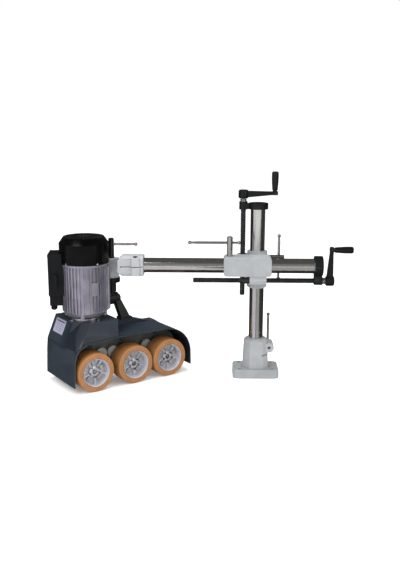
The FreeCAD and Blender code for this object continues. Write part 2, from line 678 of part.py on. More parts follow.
bearing_low = cut(cyl(bearing_radius, body_low + 8, body_low + 20, motor_x, motor_y),
                  cyl(motor_shaft_radius + shaft_play, 200, 400, motor_x, motor_y))
bearing_high = cut(cyl(bearing_radius, motor_top - 14, motor_top - 4, motor_x, motor_y),
                   cyl(motor_shaft_radius + shaft_play, 200, 400, motor_x, motor_y))
save_in_head("motor_bearings", Part.makeCompound([bearing_low, bearing_high]))

fan = cyl(14, 392, 416, motor_x, motor_y).fuse(cyl(60, 392, 395, motor_x, motor_y))
for index in range(8):
    blade = block(13, 60, -1.2, 1.2, 394, 414)
    blade.rotate(V(0, 0, 0), V(0, 0, 1), index * 45)
    blade.translate(V(motor_x, motor_y, 0))
    fan = fan.fuse(blade)
fan = cut(fan.removeSplitter(), cyl(motor_shaft_radius, 380, 430, motor_x, motor_y))
save_in_head("fan", fan)

c = cowl_wall
cowl = turned([(cowl_radius - c, cowl_bottom), (cowl_radius, cowl_bottom), (cowl_radius, cowl_chamfer_z),
               (cowl_flat_radius, cowl_top), (0, cowl_top), (0, cowl_top - c), (cowl_flat_radius - c, cowl_top - c),
               (cowl_radius - c, cowl_chamfer_z - c)], motor_x, motor_y)
for index in range(20):
    vent = block(24, 50, -1.8, 1.8, cowl_top - 5, cowl_top + 5)
    vent.rotate(V(0, 0, 0), V(0, 0, 1), index * 18)
    vent.translate(V(motor_x, motor_y, 0))
    cowl = cowl.cut(vent)
cowl_screw_angles = (-162.0, 70.0, -85.0)
cowl_screw_z = cowl_bottom + 2.8
screws = []
for angle in cowl_screw_angles:
    hole = cyl_x(2.2, cowl_radius - 8, cowl_radius + 8, 0, cowl_screw_z)
    hole.rotate(V(0, 0, 0), V(0, 0, 1), angle)
    hole.translate(V(motor_x, motor_y, 0))
    cowl = cowl.cut(hole)
    pin = join(cyl_x(2.2, cowl_radius - c, cowl_radius + 1, 0, cowl_screw_z),
               cyl_x(3.4, cowl_radius + 0.1, cowl_radius + 2.4, 0, cowl_screw_z))
    pin.rotate(V(0, 0, 0), V(0, 0, 1), angle)
    pin.translate(V(motor_x, motor_y, 0))
    screws.append(pin)
save_in_head("fan_cowl", cowl)

for angle in (-160.0, -78.0, 10.0, 100.0):
    a = math.radians(angle)
    head_x = motor_x + (flange_radius + 7) * math.cos(a)
    head_y = motor_y + (flange_radius + 7) * math.sin(a)
    screws.append(cyl(5.0, plateau_z, plateau_z + 5.5, head_x, head_y))
save_in_head("motor_screws", Part.makeCompound(screws))

# Switch box on the motor's flank, its cable gland and its rotary switch
box_angle = 150.0
box_near = 60.0
gland_reach = 34.0
box_far = 106.0
box_half = 38.0
case_main = block(box_near, box_far, -box_half, box_half, 282, 410)
case_main = case_main.makeFillet(5.0, [e for e in case_main.Edges if e.BoundBox.XMin > box_far - 1])
case_low = block(box_near + 4, box_far - 1, -box_half + 10, box_half - 14, 250, 283)
box = join(case_main, case_low)
box = cut(box, cyl(motor_rib_radius + piece_gap, 200, 500), cyl(cowl_radius + piece_gap, motor_top - 13, 500))
box = cut(box, block(box_near, 79, -box_half + 4, box_half - 4, 300, 404))
box = cut(box, block(78, box_far - 4, -box_half + 4, box_half - 4, 286, 404))
switch_x = 84.0
switch_z = 330.0
box = cut(box, cyl_y(4.05, -box_half - 10, 0, switch_x, switch_z))
box = cut(box, cyl(6.5, 240, 290, box_near + gland_reach, -10))


def on_motor(shape):
    """Swing a piece drawn on +X round to the switch box's side of the motor."""
    shape.rotate(V(0, 0, 0), V(0, 0, 1), box_angle)
    shape.translate(V(motor_x, motor_y, 0))
    return shape


# The box's short side that faces forwards lies on the positive flank
box = box.mirror(V(0, 0, 0), V(0, 1, 0))
save_in_head("switch_box", on_motor(box))
knob = join(cyl_y(4.0, box_half - 6, box_half + 2, switch_x, switch_z),
            cyl_y(13.0, box_half + piece_gap, box_half + 4, switch_x, switch_z),
            block(switch_x - 4.5, switch_x + 4.5, box_half + 3, box_half + 15, switch_z - 20, switch_z + 20))
save_in_head("switch_knob", on_motor(knob))
gland = join(cyl(6.5, 240, 256, box_near + gland_reach, 10), cyl(10.0, 234, 249.7, box_near + gland_reach, 10))
gland = cut(gland, cyl(3.6, 230, 270, box_near + gland_reach, 10))
save_in_head("cable_gland", on_motor(gland))

# --------------------------------------------------------------- gear train
cross_shaft = cyl_x(cross_shaft_radius, -126, 118, cross_shaft_y, cross_shaft_z)
for side in pivot_x:
    cross_shaft = join(cross_shaft, cyl_x(cross_worm_radius, pivot_x[side] - 13, pivot_x[side] + 13,
                                          cross_shaft_y, cross_shaft_z))
cross_shaft = join(cross_shaft, cyl_x(cross_gear_radius, motor_x - 5, motor_x + 5, cross_shaft_y, cross_shaft_z))
save_in_head("cross_shaft", cross_shaft)

for side in pivot_x:
    px = pivot_x[side]
    wx = wheel_x[side]
    shaft = join(cyl_y(drive_radius, -54, -21, px, pivot_z),
                 cyl_y(drive_gear_radius, cross_shaft_y - 5, cross_shaft_y + 5, px, pivot_z),
                 cyl_y(11.0, -53.5, -48.5, px, pivot_z))
    save_in_head("drive_shaft_" + side, shaft)


def lobed(front, rear, px, wx, big, small):
    """Plate with two round ends, one on the pivot and one on the axle."""
    reach = math.hypot(wx - px, tyre_radius - pivot_z)
    plate = cyl_y(big, front, rear, 0, 0).fuse(cyl_y(small, front, rear, reach, 0))
    side = (big - small) / reach
    lean_angle = math.asin(side)
    up = math.cos(lean_angle)
    outline = [(big * side, big * up), (reach + small * side, small * up),
               (reach + small * side, -small * up), (big * side, -big * up)]
    plate = plate.fuse(prism_y(outline, front, rear)).removeSplitter()
    turn = math.degrees(math.atan2(pivot_z - tyre_radius, wx - px))
    plate.rotate(V(0, 0, 0), V(0, 1, 0), turn)
    plate.translate(V(px, 0, pivot_z))
    return plate


spring_radius = 7.0
spring_top = 144.0
for side in pivot_x:
    px = pivot_x[side]
    wx = wheel_x[side]
    arm = lobed(arm_front_y, arm_rear_y, px, wx, 18.5, 17.5)
    toward = 1.0 if wx > px else -1.0
    perch_x = px + toward * 38.0
    perch = cyl(9.0, pivot_z - 24, pivot_z + 2, perch_x, (arm_front_y + arm_rear_y) / 2).common(
        block(-300, 300, arm_front_y, arm_rear_y, 0, 300))
    arm = arm.fuse(perch).removeSplitter()
    arm = cut(arm, lobed(arm_front_y + arm_wall, -47 - 0.2, px, wx, 15.5, 15.0))
    arm = cut(arm, cyl_y(sleeve_radius + shaft_play, -48, 0, px, pivot_z))
    arm = cut(arm, cyl_y(axle_radius + shaft_play, -100, 0, wx, tyre_radius))
    save_in_head("swing_arm_" + side, arm)

    loop = lobed(-53, -49, px, wx, 14.0, 14.0001)
    loop = cut(loop, lobed(-54, -48, px, wx, 11.3, 11.3001))
    save_in_head("chain_" + side, loop)

    coil_low = pivot_z + 2 + piece_gap
    helix = Part.makeHelix(9.0, spring_top - coil_low - 3.0, spring_radius)
    helix.translate(V(perch_x, (arm_front_y + arm_rear_y) / 2, coil_low + 1.5))
    start = helix.Edges[0].valueAt(helix.Edges[0].FirstParameter)
    heading = helix.Edges[0].tangentAt(helix.Edges[0].FirstParameter)
    wire_ring = Part.Wire([Part.makeCircle(1.2, start, heading)])
    coil = Part.Wire(helix.Edges).makePipeShell([wire_ring], True, True)
    save_in_head("spring_" + side, coil)

# ------------------------------------------------------------------ wheels
for side in pivot_x:
    wx = wheel_x[side]
    f = wheel_face_y
    rim = cut(cyl_y(hub_radius, f + 1, f + tyre_width - 1, wx, tyre_radius),
              cyl_y(hub_radius - 3.5, f, f + 26, wx, tyre_radius),
              cyl_y(hub_radius - 3.5, f + 34, f + tyre_width, wx, tyre_radius))
    nave = cyl_y(17.0, f + 14, f + tyre_width - 3, wx, tyre_radius)
    hub = rim.fuse(nave)
    for index in range(5):
        rib = prism_y([(12, -2.2), (hub_radius - 2, -2.2), (hub_radius - 2, 2.2), (12, 2.2)], f + 14, f + 27)
        rib.rotate(V(0, 0, 0), V(0, 1, 0), index * 72 + 18)
        rib.translate(V(wx, 0, tyre_radius))
        hub = hub.fuse(rib)
    hub = hub.fuse(cyl_y(axle_radius, f + 16, -44, wx, tyre_radius)).fuse(cyl_y(11.0, -53.5, -48.5, wx, tyre_radius))
    hub = hub.removeSplitter()
    for index in range(5):
        a = math.radians(index * 72 + 54)
        hole = cyl_y(6.5, f + 20, f + 40, wx + 29 * math.cos(a), tyre_radius + 29 * math.sin(a))
        hub = hub.cut(hole)
    save_in_head("wheel_hub_" + side, hub)
    tyre = cyl_y(tyre_radius, f, f + tyre_width, wx, tyre_radius)
    tyre = tyre.makeFillet(3.5, [e for e in tyre.Edges if isinstance(e.Curve, Part.Circle)])
    tyre = cut(tyre, cyl_y(hub_radius, f - 1, f + tyre_width + 1, wx, tyre_radius))
    save_in_head("tyre_" + side, tyre)
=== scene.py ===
"""Looks of a power feeder: three sprung wheels under a hood, an upright motor, a column and an overarm.

Sizes are in millimetres, as on a workshop drawing, and turn to metres when a piece is finished.
"""
import json
import logging
import math
from collections.abc import Iterable, Sequence
from dataclasses import dataclass, field, replace
from enum import Enum

import bmesh
import bpy
from mathutils import Matrix, Vector

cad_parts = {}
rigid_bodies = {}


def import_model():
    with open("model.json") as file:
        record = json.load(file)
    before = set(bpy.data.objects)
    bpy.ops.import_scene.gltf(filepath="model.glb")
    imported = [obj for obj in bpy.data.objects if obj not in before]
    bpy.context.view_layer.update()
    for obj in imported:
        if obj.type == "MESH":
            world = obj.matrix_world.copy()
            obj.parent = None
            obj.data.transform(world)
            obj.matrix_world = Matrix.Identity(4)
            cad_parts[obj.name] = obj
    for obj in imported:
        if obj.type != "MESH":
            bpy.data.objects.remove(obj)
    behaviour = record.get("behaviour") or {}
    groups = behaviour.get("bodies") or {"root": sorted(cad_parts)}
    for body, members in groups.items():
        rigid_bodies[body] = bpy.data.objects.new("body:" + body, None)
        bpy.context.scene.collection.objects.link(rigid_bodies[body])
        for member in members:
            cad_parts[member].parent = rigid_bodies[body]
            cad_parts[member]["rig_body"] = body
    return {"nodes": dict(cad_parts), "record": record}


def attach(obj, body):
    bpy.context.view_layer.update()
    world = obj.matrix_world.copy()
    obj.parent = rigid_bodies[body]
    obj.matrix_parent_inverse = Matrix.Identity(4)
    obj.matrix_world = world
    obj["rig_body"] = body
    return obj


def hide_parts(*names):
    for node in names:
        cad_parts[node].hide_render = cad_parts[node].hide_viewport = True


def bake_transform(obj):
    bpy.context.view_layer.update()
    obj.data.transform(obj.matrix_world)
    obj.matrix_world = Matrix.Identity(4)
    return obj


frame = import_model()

log = logging.getLogger("power_feeder")
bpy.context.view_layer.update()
MM = 0.001
STILL = Matrix.Identity(4)
Z_TO_X = Matrix.Rotation(math.radians(90), 4, "Y")
Z_TO_MINUS_X = Matrix.Rotation(math.radians(-90), 4, "Y")
Z_TO_Y = Matrix.Rotation(math.radians(-90), 4, "X")
HEAD = Matrix.Translation((-455.0, -10.0, 0.0)) @ Matrix.Rotation(math.radians(36), 4, "Z")
MOTOR = HEAD @ Matrix.Translation((-99.0, -11.0, 0.0))
NODE_SLOT = {part["node"]: part["material_slot"] for part in frame["record"]["subparts"]}


# ---- finishes
class Grain(Enum):
    """How a surface was made, which sets the texture that its finest pattern has."""

    SPECKLED = "noise"
    PEBBLED = "cells"


@dataclass(frozen=True)
class Finish:
    """One material: a base tone, its clouds, its fine grain and its shine.

    Attributes:
        name: Common name of the material and how it was made.
        colour: Main tone, sRGB hex.
        second: Tone that the clouds pull towards, sRGB hex.
        rough: Roughness between the smoothest and the dullest clouds.
        metallic: 1 for bare metal.
        ior: Index of refraction, for anything that isn't bare metal.
        shine: Strength of the reflection at right angles, for anything that isn't bare metal.
        coat: Weight of a clear coat.
        coat_rough: Roughness of that coat.
        grain: Kind of fine pattern.
        grain_mm: Size of one grain.
        relief_mm: Height of the grain.
        cloud_mm: Size of one cloud of tone.
        stretch: Scale of the grain along X, Y and Z; a small number draws it out.
        edge_wear_and_highlight: Share of the edge tone on outer corners; it stands for rubbed paint and also
            paints a highlight there.
        edge_wear_and_highlight_tone: Tone of those corners, sRGB hex; lighter than the base, partly wear and
            partly a painted highlight.
    """

    name: str
    colour: str
    second: str
    rough: tuple[float, float]
    metallic: float = 0.0
    ior: float = 1.5
    shine: float = 0.5
    coat: float = 0.0
    coat_rough: float = 0.1
    grain: Grain = Grain.SPECKLED
    grain_mm: float = 1.0
    relief_mm: float = 0.01
    cloud_mm: float = 45.0
    stretch: tuple[float, float, float] = (1.0, 1.0, 1.0)
    edge_wear_and_highlight: float = 0.0
    edge_wear_and_highlight_tone: str = "#b9bbbd"


# Grey enamel on sand-cast iron: the 2 mm sand texture shows softly through a satin coat; its lighter corners
# are partly chipped enamel and partly a painted highlight
CAST_ENAMEL = Finish("cast_iron_grey_enamel", "#999c9f", "#8d9194", (0.42, 0.55), coat=0.12, coat_rough=0.3,
                     grain_mm=2.2, relief_mm=0.16, cloud_mm=60, edge_wear_and_highlight=0.25, edge_wear_and_highlight_tone="#c2c4c2")
# Hard chrome over ground tube: rings 1.5 mm apart, coarser than real grinding marks
GROUND_CHROME_X = Finish("ground_chrome_tube_along_x", "#cfcdc9", "#c3c2bf", (0.12, 0.18), metallic=1.0,
                         grain_mm=1.5, relief_mm=0.0006, stretch=(1.0, 0.06, 0.06), cloud_mm=90)
GROUND_CHROME_Z = replace(GROUND_CHROME_X, name="ground_chrome_tube_along_z", stretch=(0.06, 0.06, 1.0))
# Black-oxided steel with an oil film: dark, streaky, half shiny; its lighter corners are partly wear and
# partly a painted highlight
BLACK_OXIDE = Finish("black_oxide_steel", "#3a3c3c", "#262828", (0.28, 0.42), metallic=1.0,
                     grain_mm=1.2, relief_mm=0.006, cloud_mm=18, edge_wear_and_highlight=0.35, edge_wear_and_highlight_tone="#7d7f80")
# Satin black paint on cast iron, with the sand texture under it and lighter corners, partly rubbed paint and
# partly a painted highlight
BLACK_CASTING = Finish("cast_iron_satin_black", "#08090a", "#0d0f10", (0.36, 0.5), shine=0.3,
                       grain_mm=1.8, relief_mm=0.09, cloud_mm=40, edge_wear_and_highlight=0.18, edge_wear_and_highlight_tone="#45494b")
# Phenolic grip, turned smooth and polished by hands
PHENOLIC = Finish("phenolic_moulded_black", "#060707", "#0b0c0d", (0.28, 0.4), ior=1.55, shine=0.3,
                  grain_mm=0.8, relief_mm=0.01, cloud_mm=25)
# Bright nickel plate on turned steel bars and studs
NICKEL_PLATE = Finish("nickel_plated_steel", "#b9b7b3", "#a9a8a5", (0.14, 0.28), metallic=1.0,
                      grain_mm=1.0, relief_mm=0.003, cloud_mm=20)
# Blue-grey spray enamel on folded sheet: fine orange peel and a low gloss; its lighter corners are partly
# wear and partly a painted highlight
HOOD_ENAMEL = Finish("sheet_steel_slate_enamel", "#181f2b", "#131a24", (0.36, 0.48), coat=0.1,
                     coat_rough=0.25, grain_mm=1.6, relief_mm=0.03, cloud_mm=110, edge_wear_and_highlight=0.22, edge_wear_and_highlight_tone="#515d69")
# Moulded ABS of the fan cowl, smooth with a soft gloss
GLOSS_ABS = Finish("abs_moulded_gloss_black", "#030304", "#060607", (0.2, 0.28), ior=1.54, shine=0.12,
                   grain_mm=2.5, relief_mm=0.004, cloud_mm=70)
# Silver lacquer on die-cast aluminium: soft metal with a fine grain drawn out down the ribs
LACQUERED_ALUMINIUM = Finish("aluminium_die_cast_silver", "#b3b1ba", "#a09ea8", (0.34, 0.48), metallic=0.9,
                             grain_mm=1.4, relief_mm=0.05, stretch=(1.0, 1.0, 0.3), cloud_mm=30)
# Turned aluminium ring
TURNED_ALUMINIUM = Finish("aluminium_turned", "#b9b8bc", "#a7a6ab", (0.2, 0.3), metallic=1.0,
                          grain_mm=0.9, relief_mm=0.004, stretch=(0.2, 0.2, 1.0), cloud_mm=25)
# Die-cast hub, machined on its rim
HUB_ALUMINIUM = Finish("aluminium_die_cast_bright", "#dcdbe2", "#cecdd5", (0.4, 0.5), metallic=0.6,
                       grain_mm=1.2, relief_mm=0.03, cloud_mm=14)
# As-cast aluminium of the inner arms and gear case, duller and greyer
CAST_ALUMINIUM = Finish("aluminium_as_cast_grey", "#b5b7b4", "#a3a5a3", (0.45, 0.6), metallic=0.6,
                        grain_mm=1.6, relief_mm=0.08, cloud_mm=30)
# Iron gear case in a dark olive-grey, matt and a little oily
DARK_OLIVE_CASE = Finish("cast_iron_dark_olive_grey", "#50544c", "#454942", (0.5, 0.65),
                     grain_mm=1.8, relief_mm=0.1, cloud_mm=35)
# Poured polyurethane: warm amber, even, slightly waxy, with faint mould mottling; its lighter corners are
# partly wear and partly a painted highlight
POLYURETHANE = Finish("polyurethane_poured_amber", "#9d6d40", "#916236", (0.4, 0.52), coat=0.08,
                      coat_rough=0.35, grain_mm=2.0, relief_mm=0.03, cloud_mm=22, edge_wear_and_highlight=0.2, edge_wear_and_highlight_tone="#bb7f47")
# Textured moulded plastic with a spark-eroded pebble
TEXTURED_ABS = Finish("abs_moulded_textured_black", "#0a0c0f", "#0e1013", (0.46, 0.58), ior=1.54, shine=0.2,
                      grain=Grain.PEBBLED, grain_mm=1.2, relief_mm=0.02, cloud_mm=50)
# Same plastic in a slate tone, for the switch box
SLATE_ABS = replace(TEXTURED_ABS, name="abs_moulded_slate", colour="#090b0f", second="#0b0d11")
# Machined gear steel with a little oil
MACHINED_STEEL = Finish("steel_machined", "#a3a4a6", "#8d8e90", (0.24, 0.4), metallic=1.0,
                        grain_mm=0.9, relief_mm=0.006, cloud_mm=12)
# Varnished laminations
LAMINATIONS = Finish("varnished_laminations", "#8a6a50", "#6d4f3a", (0.4, 0.55), metallic=0.7,
                     grain_mm=1.0, relief_mm=0.05, stretch=(0.1, 0.1, 1.0), cloud_mm=15)
# Cast bronze
BRONZE = Finish("bronze_turned", "#b58a4c", "#9c733b", (0.25, 0.4), metallic=1.0,
                grain_mm=1.0, relief_mm=0.006)
# Anodised aluminium plate with a satin, faintly violet white
PLATE_ANODISED = Finish("aluminium_anodised_plate", "#a6a7bd", "#9c9db3", (0.4, 0.5), metallic=0.15,
                        grain_mm=1.0, relief_mm=0.002, cloud_mm=15)
# Screen-printed rules on that plate
PLATE_INK = Finish("printed_ink_grey", "#4a4b57", "#565764", (0.5, 0.6), grain_mm=1.0, relief_mm=0.002)

SLOT_FINISH = {
    "cast_paint": CAST_ENAMEL, "bright_tube": GROUND_CHROME_X, "dark_steel": BLACK_OXIDE,
    "black_cast": BLACK_CASTING, "grip_plastic": PHENOLIC, "stud_plate": NICKEL_PLATE,
    "hood_paint": HOOD_ENAMEL, "cowl_black": GLOSS_ABS, "motor_alu": LACQUERED_ALUMINIUM,
    "flange_alu": TURNED_ALUMINIUM, "hub_alu": HUB_ALUMINIUM, "tyre_orange": POLYURETHANE,
    "box_black": TEXTURED_ABS, "arm_grey": CAST_ALUMINIUM, "gear_steel": MACHINED_STEEL,
    "winding": LAMINATIONS, "bronze": BRONZE, "label": PLATE_ANODISED,
}


def linear(hex_colour: str) -> tuple[float, float, float, float]:
    """Turn an sRGB hex colour to linear light.

    Args:
        hex_colour: Colour such as "#2c3742".

    Returns:
        Red, green, blue and a full alpha.
    """
    parts = [int(hex_colour[i:i + 2], 16) / 255 for i in (1, 3, 5)]
    return tuple(p / 12.92 if p <= 0.04045 else ((p + 0.055) / 1.055) ** 2.4 for p in parts) + (1.0,)


def per_mm(size: float) -> float:
    """Texture scale at which one feature is that many millimetres."""
    return 1.0 / (size * MM)


def add_node(tree: bpy.types.NodeTree, kind: str, feeds: dict[str | int, object] | None = None,
             **settings: object) -> bpy.types.Node:
    """Add a shader node with its settings, constants and links.

    Args:
        tree: Node tree that gets the node.
        kind: Blender's name of the node type.
        feeds: Socket name or number, and the constant or output socket that feeds it.
        settings: Properties of the node itself.

    Returns:
        The new node.
    """
    node = tree.nodes.new(kind)
    for key, value in settings.items():
        setattr(node, key, value)
    for key, value in (feeds or {}).items():
        if isinstance(value, bpy.types.NodeSocket):
            tree.links.new(value, node.inputs[key])
        else:
            node.inputs[key].default_value = value
    return node


def remap(tree: bpy.types.NodeTree, value: bpy.types.NodeSocket, span: Sequence[float],
          target: Sequence[float] = (0.0, 1.0)) -> bpy.types.NodeSocket:
    """Stretch one span of a value to another and clamp it there.

    Args:
        tree: Node tree that gets the node.
        value: Socket with the value.
        span: Low and high end of the value.
        target: What they become.

    Returns:
        The socket with the result.
    """
    node = add_node(tree, "ShaderNodeMapRange", {"Value": value, "From Min": span[0], "From Max": span[1],
                                                 "To Min": target[0], "To Max": target[1]})
    return node.outputs[0]


def mix_colours(tree: bpy.types.NodeTree, share: bpy.types.NodeSocket, first: object,
                second: object) -> bpy.types.NodeSocket:
    """Mix two colours; 6, 7 and 2 are the node's sockets for colours.

    Args:
        tree: Node tree that gets the node.
        share: Socket with the second colour's share.
        first: First colour, or its socket.
        second: Second colour, or its socket.

    Returns:
        The socket with the mixed colour.
    """
    node = add_node(tree, "ShaderNodeMix", {0: share, 6: first, 7: second}, data_type="RGBA")
    return node.outputs[2]


def material_of(finish: Finish) -> bpy.types.Material:
    """Build a finish's material once and hand it out again after that.

    Args:
        finish: The finish to build.

    Returns:
        The Blender material.
    """
    known = bpy.data.materials.get(finish.name)
    if known:
        return known
    material = bpy.data.materials.new(finish.name)
    material.use_nodes = True
    tree = material.node_tree
    tree.nodes.clear()
    place = add_node(tree, "ShaderNodeTexCoord").outputs["Object"]
    drawn = add_node(tree, "ShaderNodeMapping", {"Vector": place, "Scale": finish.stretch})
    clouds = add_node(tree, "ShaderNodeTexNoise", {"Vector": place, "Scale": per_mm(finish.cloud_mm),
                                                   "Detail": 4.0, "Roughness": 0.55})
    if finish.grain is Grain.PEBBLED:
        cells = add_node(tree, "ShaderNodeTexVoronoi", {"Vector": drawn.outputs[0],
                                                        "Scale": per_mm(finish.grain_mm)})
        grain = cells.outputs["Distance"]
    else:
        noise = add_node(tree, "ShaderNodeTexNoise", {"Vector": drawn.outputs[0], "Detail": 2.0,
                                                      "Scale": per_mm(finish.grain_mm)})
        grain = noise.outputs["Fac"]
    tone = remap(tree, clouds.outputs["Fac"], (0.36, 0.64))
    colour = mix_colours(tree, tone, linear(finish.colour), linear(finish.second))
    # Outer corners, found by pointiness, are mixed towards a lighter tone: partly rubbed paint, partly a
    # painted highlight where the edge catches the light.
    if finish.edge_wear_and_highlight:
        corner = add_node(tree, "ShaderNodeNewGeometry").outputs["Pointiness"]
        edge = remap(tree, corner, (0.515, 0.57), (0.0, 2.0 * finish.edge_wear_and_highlight))
        rubbed_and_lit_share = add_node(tree, "ShaderNodeMath", {0: edge, 1: grain}, operation="MULTIPLY")
        colour = mix_colours(tree, rubbed_and_lit_share.outputs[0], colour, linear(finish.edge_wear_and_highlight_tone))
    dull = remap(tree, clouds.outputs["Fac"], (0.3, 0.7), finish.rough)
    bump = add_node(tree, "ShaderNodeBump", {"Height": grain, "Distance": finish.relief_mm * MM,
                                             "Strength": 1.0})
    feeds = {"Base Color": colour, "Roughness": dull, "Normal": bump.outputs[0],
             "Metallic": finish.metallic, "Coat Weight": finish.coat, "Coat Roughness": finish.coat_rough}
    if finish.metallic < 1.0:
        feeds["IOR"] = finish.ior
        feeds["Specular IOR Level"] = finish.shine
    shader = add_node(tree, "ShaderNodeBsdfPrincipled", feeds)
    add_node(tree, "ShaderNodeOutputMaterial", {"Surface": shader.outputs[0]})
    return material


# ---- mesh building
def around(angle: float, radius: float = 0.0, height: float = 0.0) -> Matrix:
    """Find the place on a circle about Z, turned along with it.

    Args:
        angle: Where on the circle, in degrees.
        radius: Radius of the circle.
        height: Height of the circle.

    Returns:
        The place, with X pointing outwards.
    """
    return Matrix.Rotation(math.radians(angle), 4, "Z") @ Matrix.Translation((radius, 0, height))


def body_of(node: str) -> str:
    """Name the body that a CAD node belongs to."""
    return frame["nodes"][node]["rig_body"]


class Shaper:
    """A mesh under construction, in millimetres, in a frame of its own."""

    def __init__(self) -> None:
        """Start with an empty mesh."""
        self.bm = bmesh.new()

    def bar(self, radius: float, low: float, high: float, turn: Matrix = STILL, steps: int = 48,
            tip: float | None = None, round_mm: float = 0.0) -> None:
        """Add a closed round bar, cone or hexagon along Z.

        Args:
            radius: Radius at the low end.
            low: Lower end.
            high: Upper end.
            turn: Place of the bar in the mesh's frame.
            steps: Sides of the bar.
            tip: Radius at the high end, where it differs.
            round_mm: Bevel of the two rims.
        """
        made = bmesh.ops.create_cone(self.bm, cap_ends=True, cap_tris=False, segments=steps, radius1=radius,
                                     radius2=radius if tip is None else tip, depth=high - low,
                                     matrix=turn @ Matrix.Translation((0, 0, (low + high) / 2)))
        if round_mm:
            edges = {edge for vert in made["verts"] for edge in vert.link_edges}
            self.bevel([edge for edge in edges if any(len(face.verts) > 4 for face in edge.link_faces)],
                       round_mm)

    def slab(self, x: Sequence[float], y: Sequence[float], z: Sequence[float], turn: Matrix = STILL,
             round_mm: float = 0.0) -> None:
        """Add a box between limits, with its edges rounded.

        Args:
            x: Lower and upper limit along X.
            y: Lower and upper limit along Y.
            z: Lower and upper limit along Z.
            turn: Place of the box in the mesh's frame.
            round_mm: Width of the rounding.
        """
        centre = Matrix.Translation([(a + b) / 2 for a, b in (x, y, z)])
        size = Matrix.Diagonal([b - a for a, b in (x, y, z)] + [1.0])
        made = bmesh.ops.create_cube(self.bm, size=1.0, matrix=turn @ centre @ size)
        if round_mm:
            self.bevel({edge for vert in made["verts"] for edge in vert.link_edges}, round_mm)

    def bevel(self, edges: Iterable[bmesh.types.BMEdge], width: float, segments: int = 3) -> None:
        """Round some edges by a width in millimetres."""
        bmesh.ops.bevel(self.bm, geom=list(edges), offset=width, offset_type="OFFSET", segments=segments,
                        profile=0.5, affect="EDGES", material=-1)

    def spun(self, outline: Sequence[tuple[float, float]], turn: Matrix = STILL, steps: int = 96,
             closed: bool = True) -> None:
        """Spin an outline of radius and height about Z.

        Args:
            outline: Points of radius and height.
            turn: Place of the axis in the mesh's frame.
            steps: Sides of the round.
            closed: Whether the outline closes on itself.
        """
        verts = [self.bm.verts.new(turn @ Vector((r, 0, z))) for r, z in outline]
        pairs = list(zip(verts, verts[1:])) + ([(verts[-1], verts[0])] if closed else [])
        edges = [self.bm.edges.new(pair) for pair in pairs]
        bmesh.ops.spin(self.bm, geom=verts + edges, cent=turn.translation,
                       axis=turn.to_3x3() @ Vector((0, 0, 1)), dvec=(0, 0, 0), angle=math.tau,
                       steps=steps, use_merge=True)

    def cap(self) -> None:
        """Close every open end."""
        bmesh.ops.holes_fill(self.bm, edges=[edge for edge in self.bm.edges if edge.is_boundary], sides=0)

    def thread(self, crest: float, root: float, pitch: float, low: float, high: float,
               steps: int = 24) -> None:
        """Add a trapezoidal thread along Z, cut square at both ends.

        Args:
            crest: Outer radius.
            root: Radius at the bottom of the groove.
            pitch: Height of one turn.
            low: Lower end.
            high: Upper end.
            steps: Sides of one turn.
        """
        turns = math.ceil((high - low) / pitch) + 2
        outline = [(root, 0.0), (root, 0.3), (crest, 0.42), (crest, 0.88), (root, 1.0)]
        verts = [self.bm.verts.new((r, 0, low + (share - 1.0) * pitch)) for r, share in outline]
        edges = [self.bm.edges.new(pair) for pair in zip(verts, verts[1:])]
        bmesh.ops.spin(self.bm, geom=verts + edges, cent=(0, 0, 0), axis=(0, 0, 1),
                       dvec=(0, 0, pitch / steps), angle=math.tau * turns, steps=steps * turns,
                       use_merge=False)
        bmesh.ops.remove_doubles(self.bm, verts=self.bm.verts, dist=0.01)
        for height, direction in ((low, -1.0), (high, 1.0)):
            everything = [*self.bm.verts, *self.bm.edges, *self.bm.faces]
            bmesh.ops.bisect_plane(self.bm, geom=everything, dist=0.001, plane_co=(0, 0, height),
                                   plane_no=(0, 0, direction), clear_outer=True)
        self.cap()

    def coil(self, radius: float, wire: float, low: float, high: float, turns: int,
             steps: int = 20) -> None:
        """Add a coil spring along Z with a closed turn at both ends.

        Args:
            radius: Radius of the wire's centre line.
            wire: Radius of the wire.
            low: Lower end.
            high: Upper end.
            turns: Open turns between the closed ones.
            steps: Sides of one turn.
        """
        start = Matrix.Translation((radius, 0, low + wire)) @ Matrix.Rotation(math.pi / 2, 4, "X")
        made = bmesh.ops.create_circle(self.bm, cap_ends=False, radius=wire, segments=10, matrix=start)
        last = [*made["verts"], *{edge for vert in made["verts"] for edge in vert.link_edges}]
        closed = 2.1 * wire
        open_rise = high - low - 2 * wire - 2 * closed
        for rounds, rise in ((1, closed), (turns, open_rise), (1, closed)):
            last = bmesh.ops.spin(self.bm, geom=last, cent=(0, 0, 0), axis=(0, 0, 1),
                                  angle=math.tau * rounds, dvec=(0, 0, rise / (rounds * steps)),
                                  steps=rounds * steps, use_merge=False)["geom_last"]
        self.cap()

    def finish(self, name: str, body: str, slot: str, finish: Finish | None = None, place: Matrix = STILL,
               replaces: Iterable[str] = (), smooth: float = 35.0) -> bpy.types.Object:
        """Close the mesh, put it in place in metres and hang it on its body.

        Args:
            name: Name of the piece.
            body: CAD body that it rides on; empty where it hangs on none.
            slot: Material slot in the record.
            finish: Finish, where it isn't the slot's usual one.
            place: Place of the mesh's frame in the part's frame, in millimetres.
            replaces: CAD nodes that the piece stands for.
            smooth: Largest angle that is shaded smooth, in degrees.

        Returns:
            The finished object.
        """
        bmesh.ops.remove_doubles(self.bm, verts=self.bm.verts, dist=0.004)
        bmesh.ops.dissolve_degenerate(self.bm, edges=self.bm.edges, dist=0.002)
        bmesh.ops.recalc_face_normals(self.bm, faces=self.bm.faces)
        bmesh.ops.transform(self.bm, matrix=Matrix.Scale(MM, 4) @ place, verts=self.bm.verts)
        mesh = bpy.data.meshes.new(name)
        self.bm.to_mesh(mesh)
        self.bm.free()
        return place_piece(name, mesh, body, slot, finish, replaces, smooth)


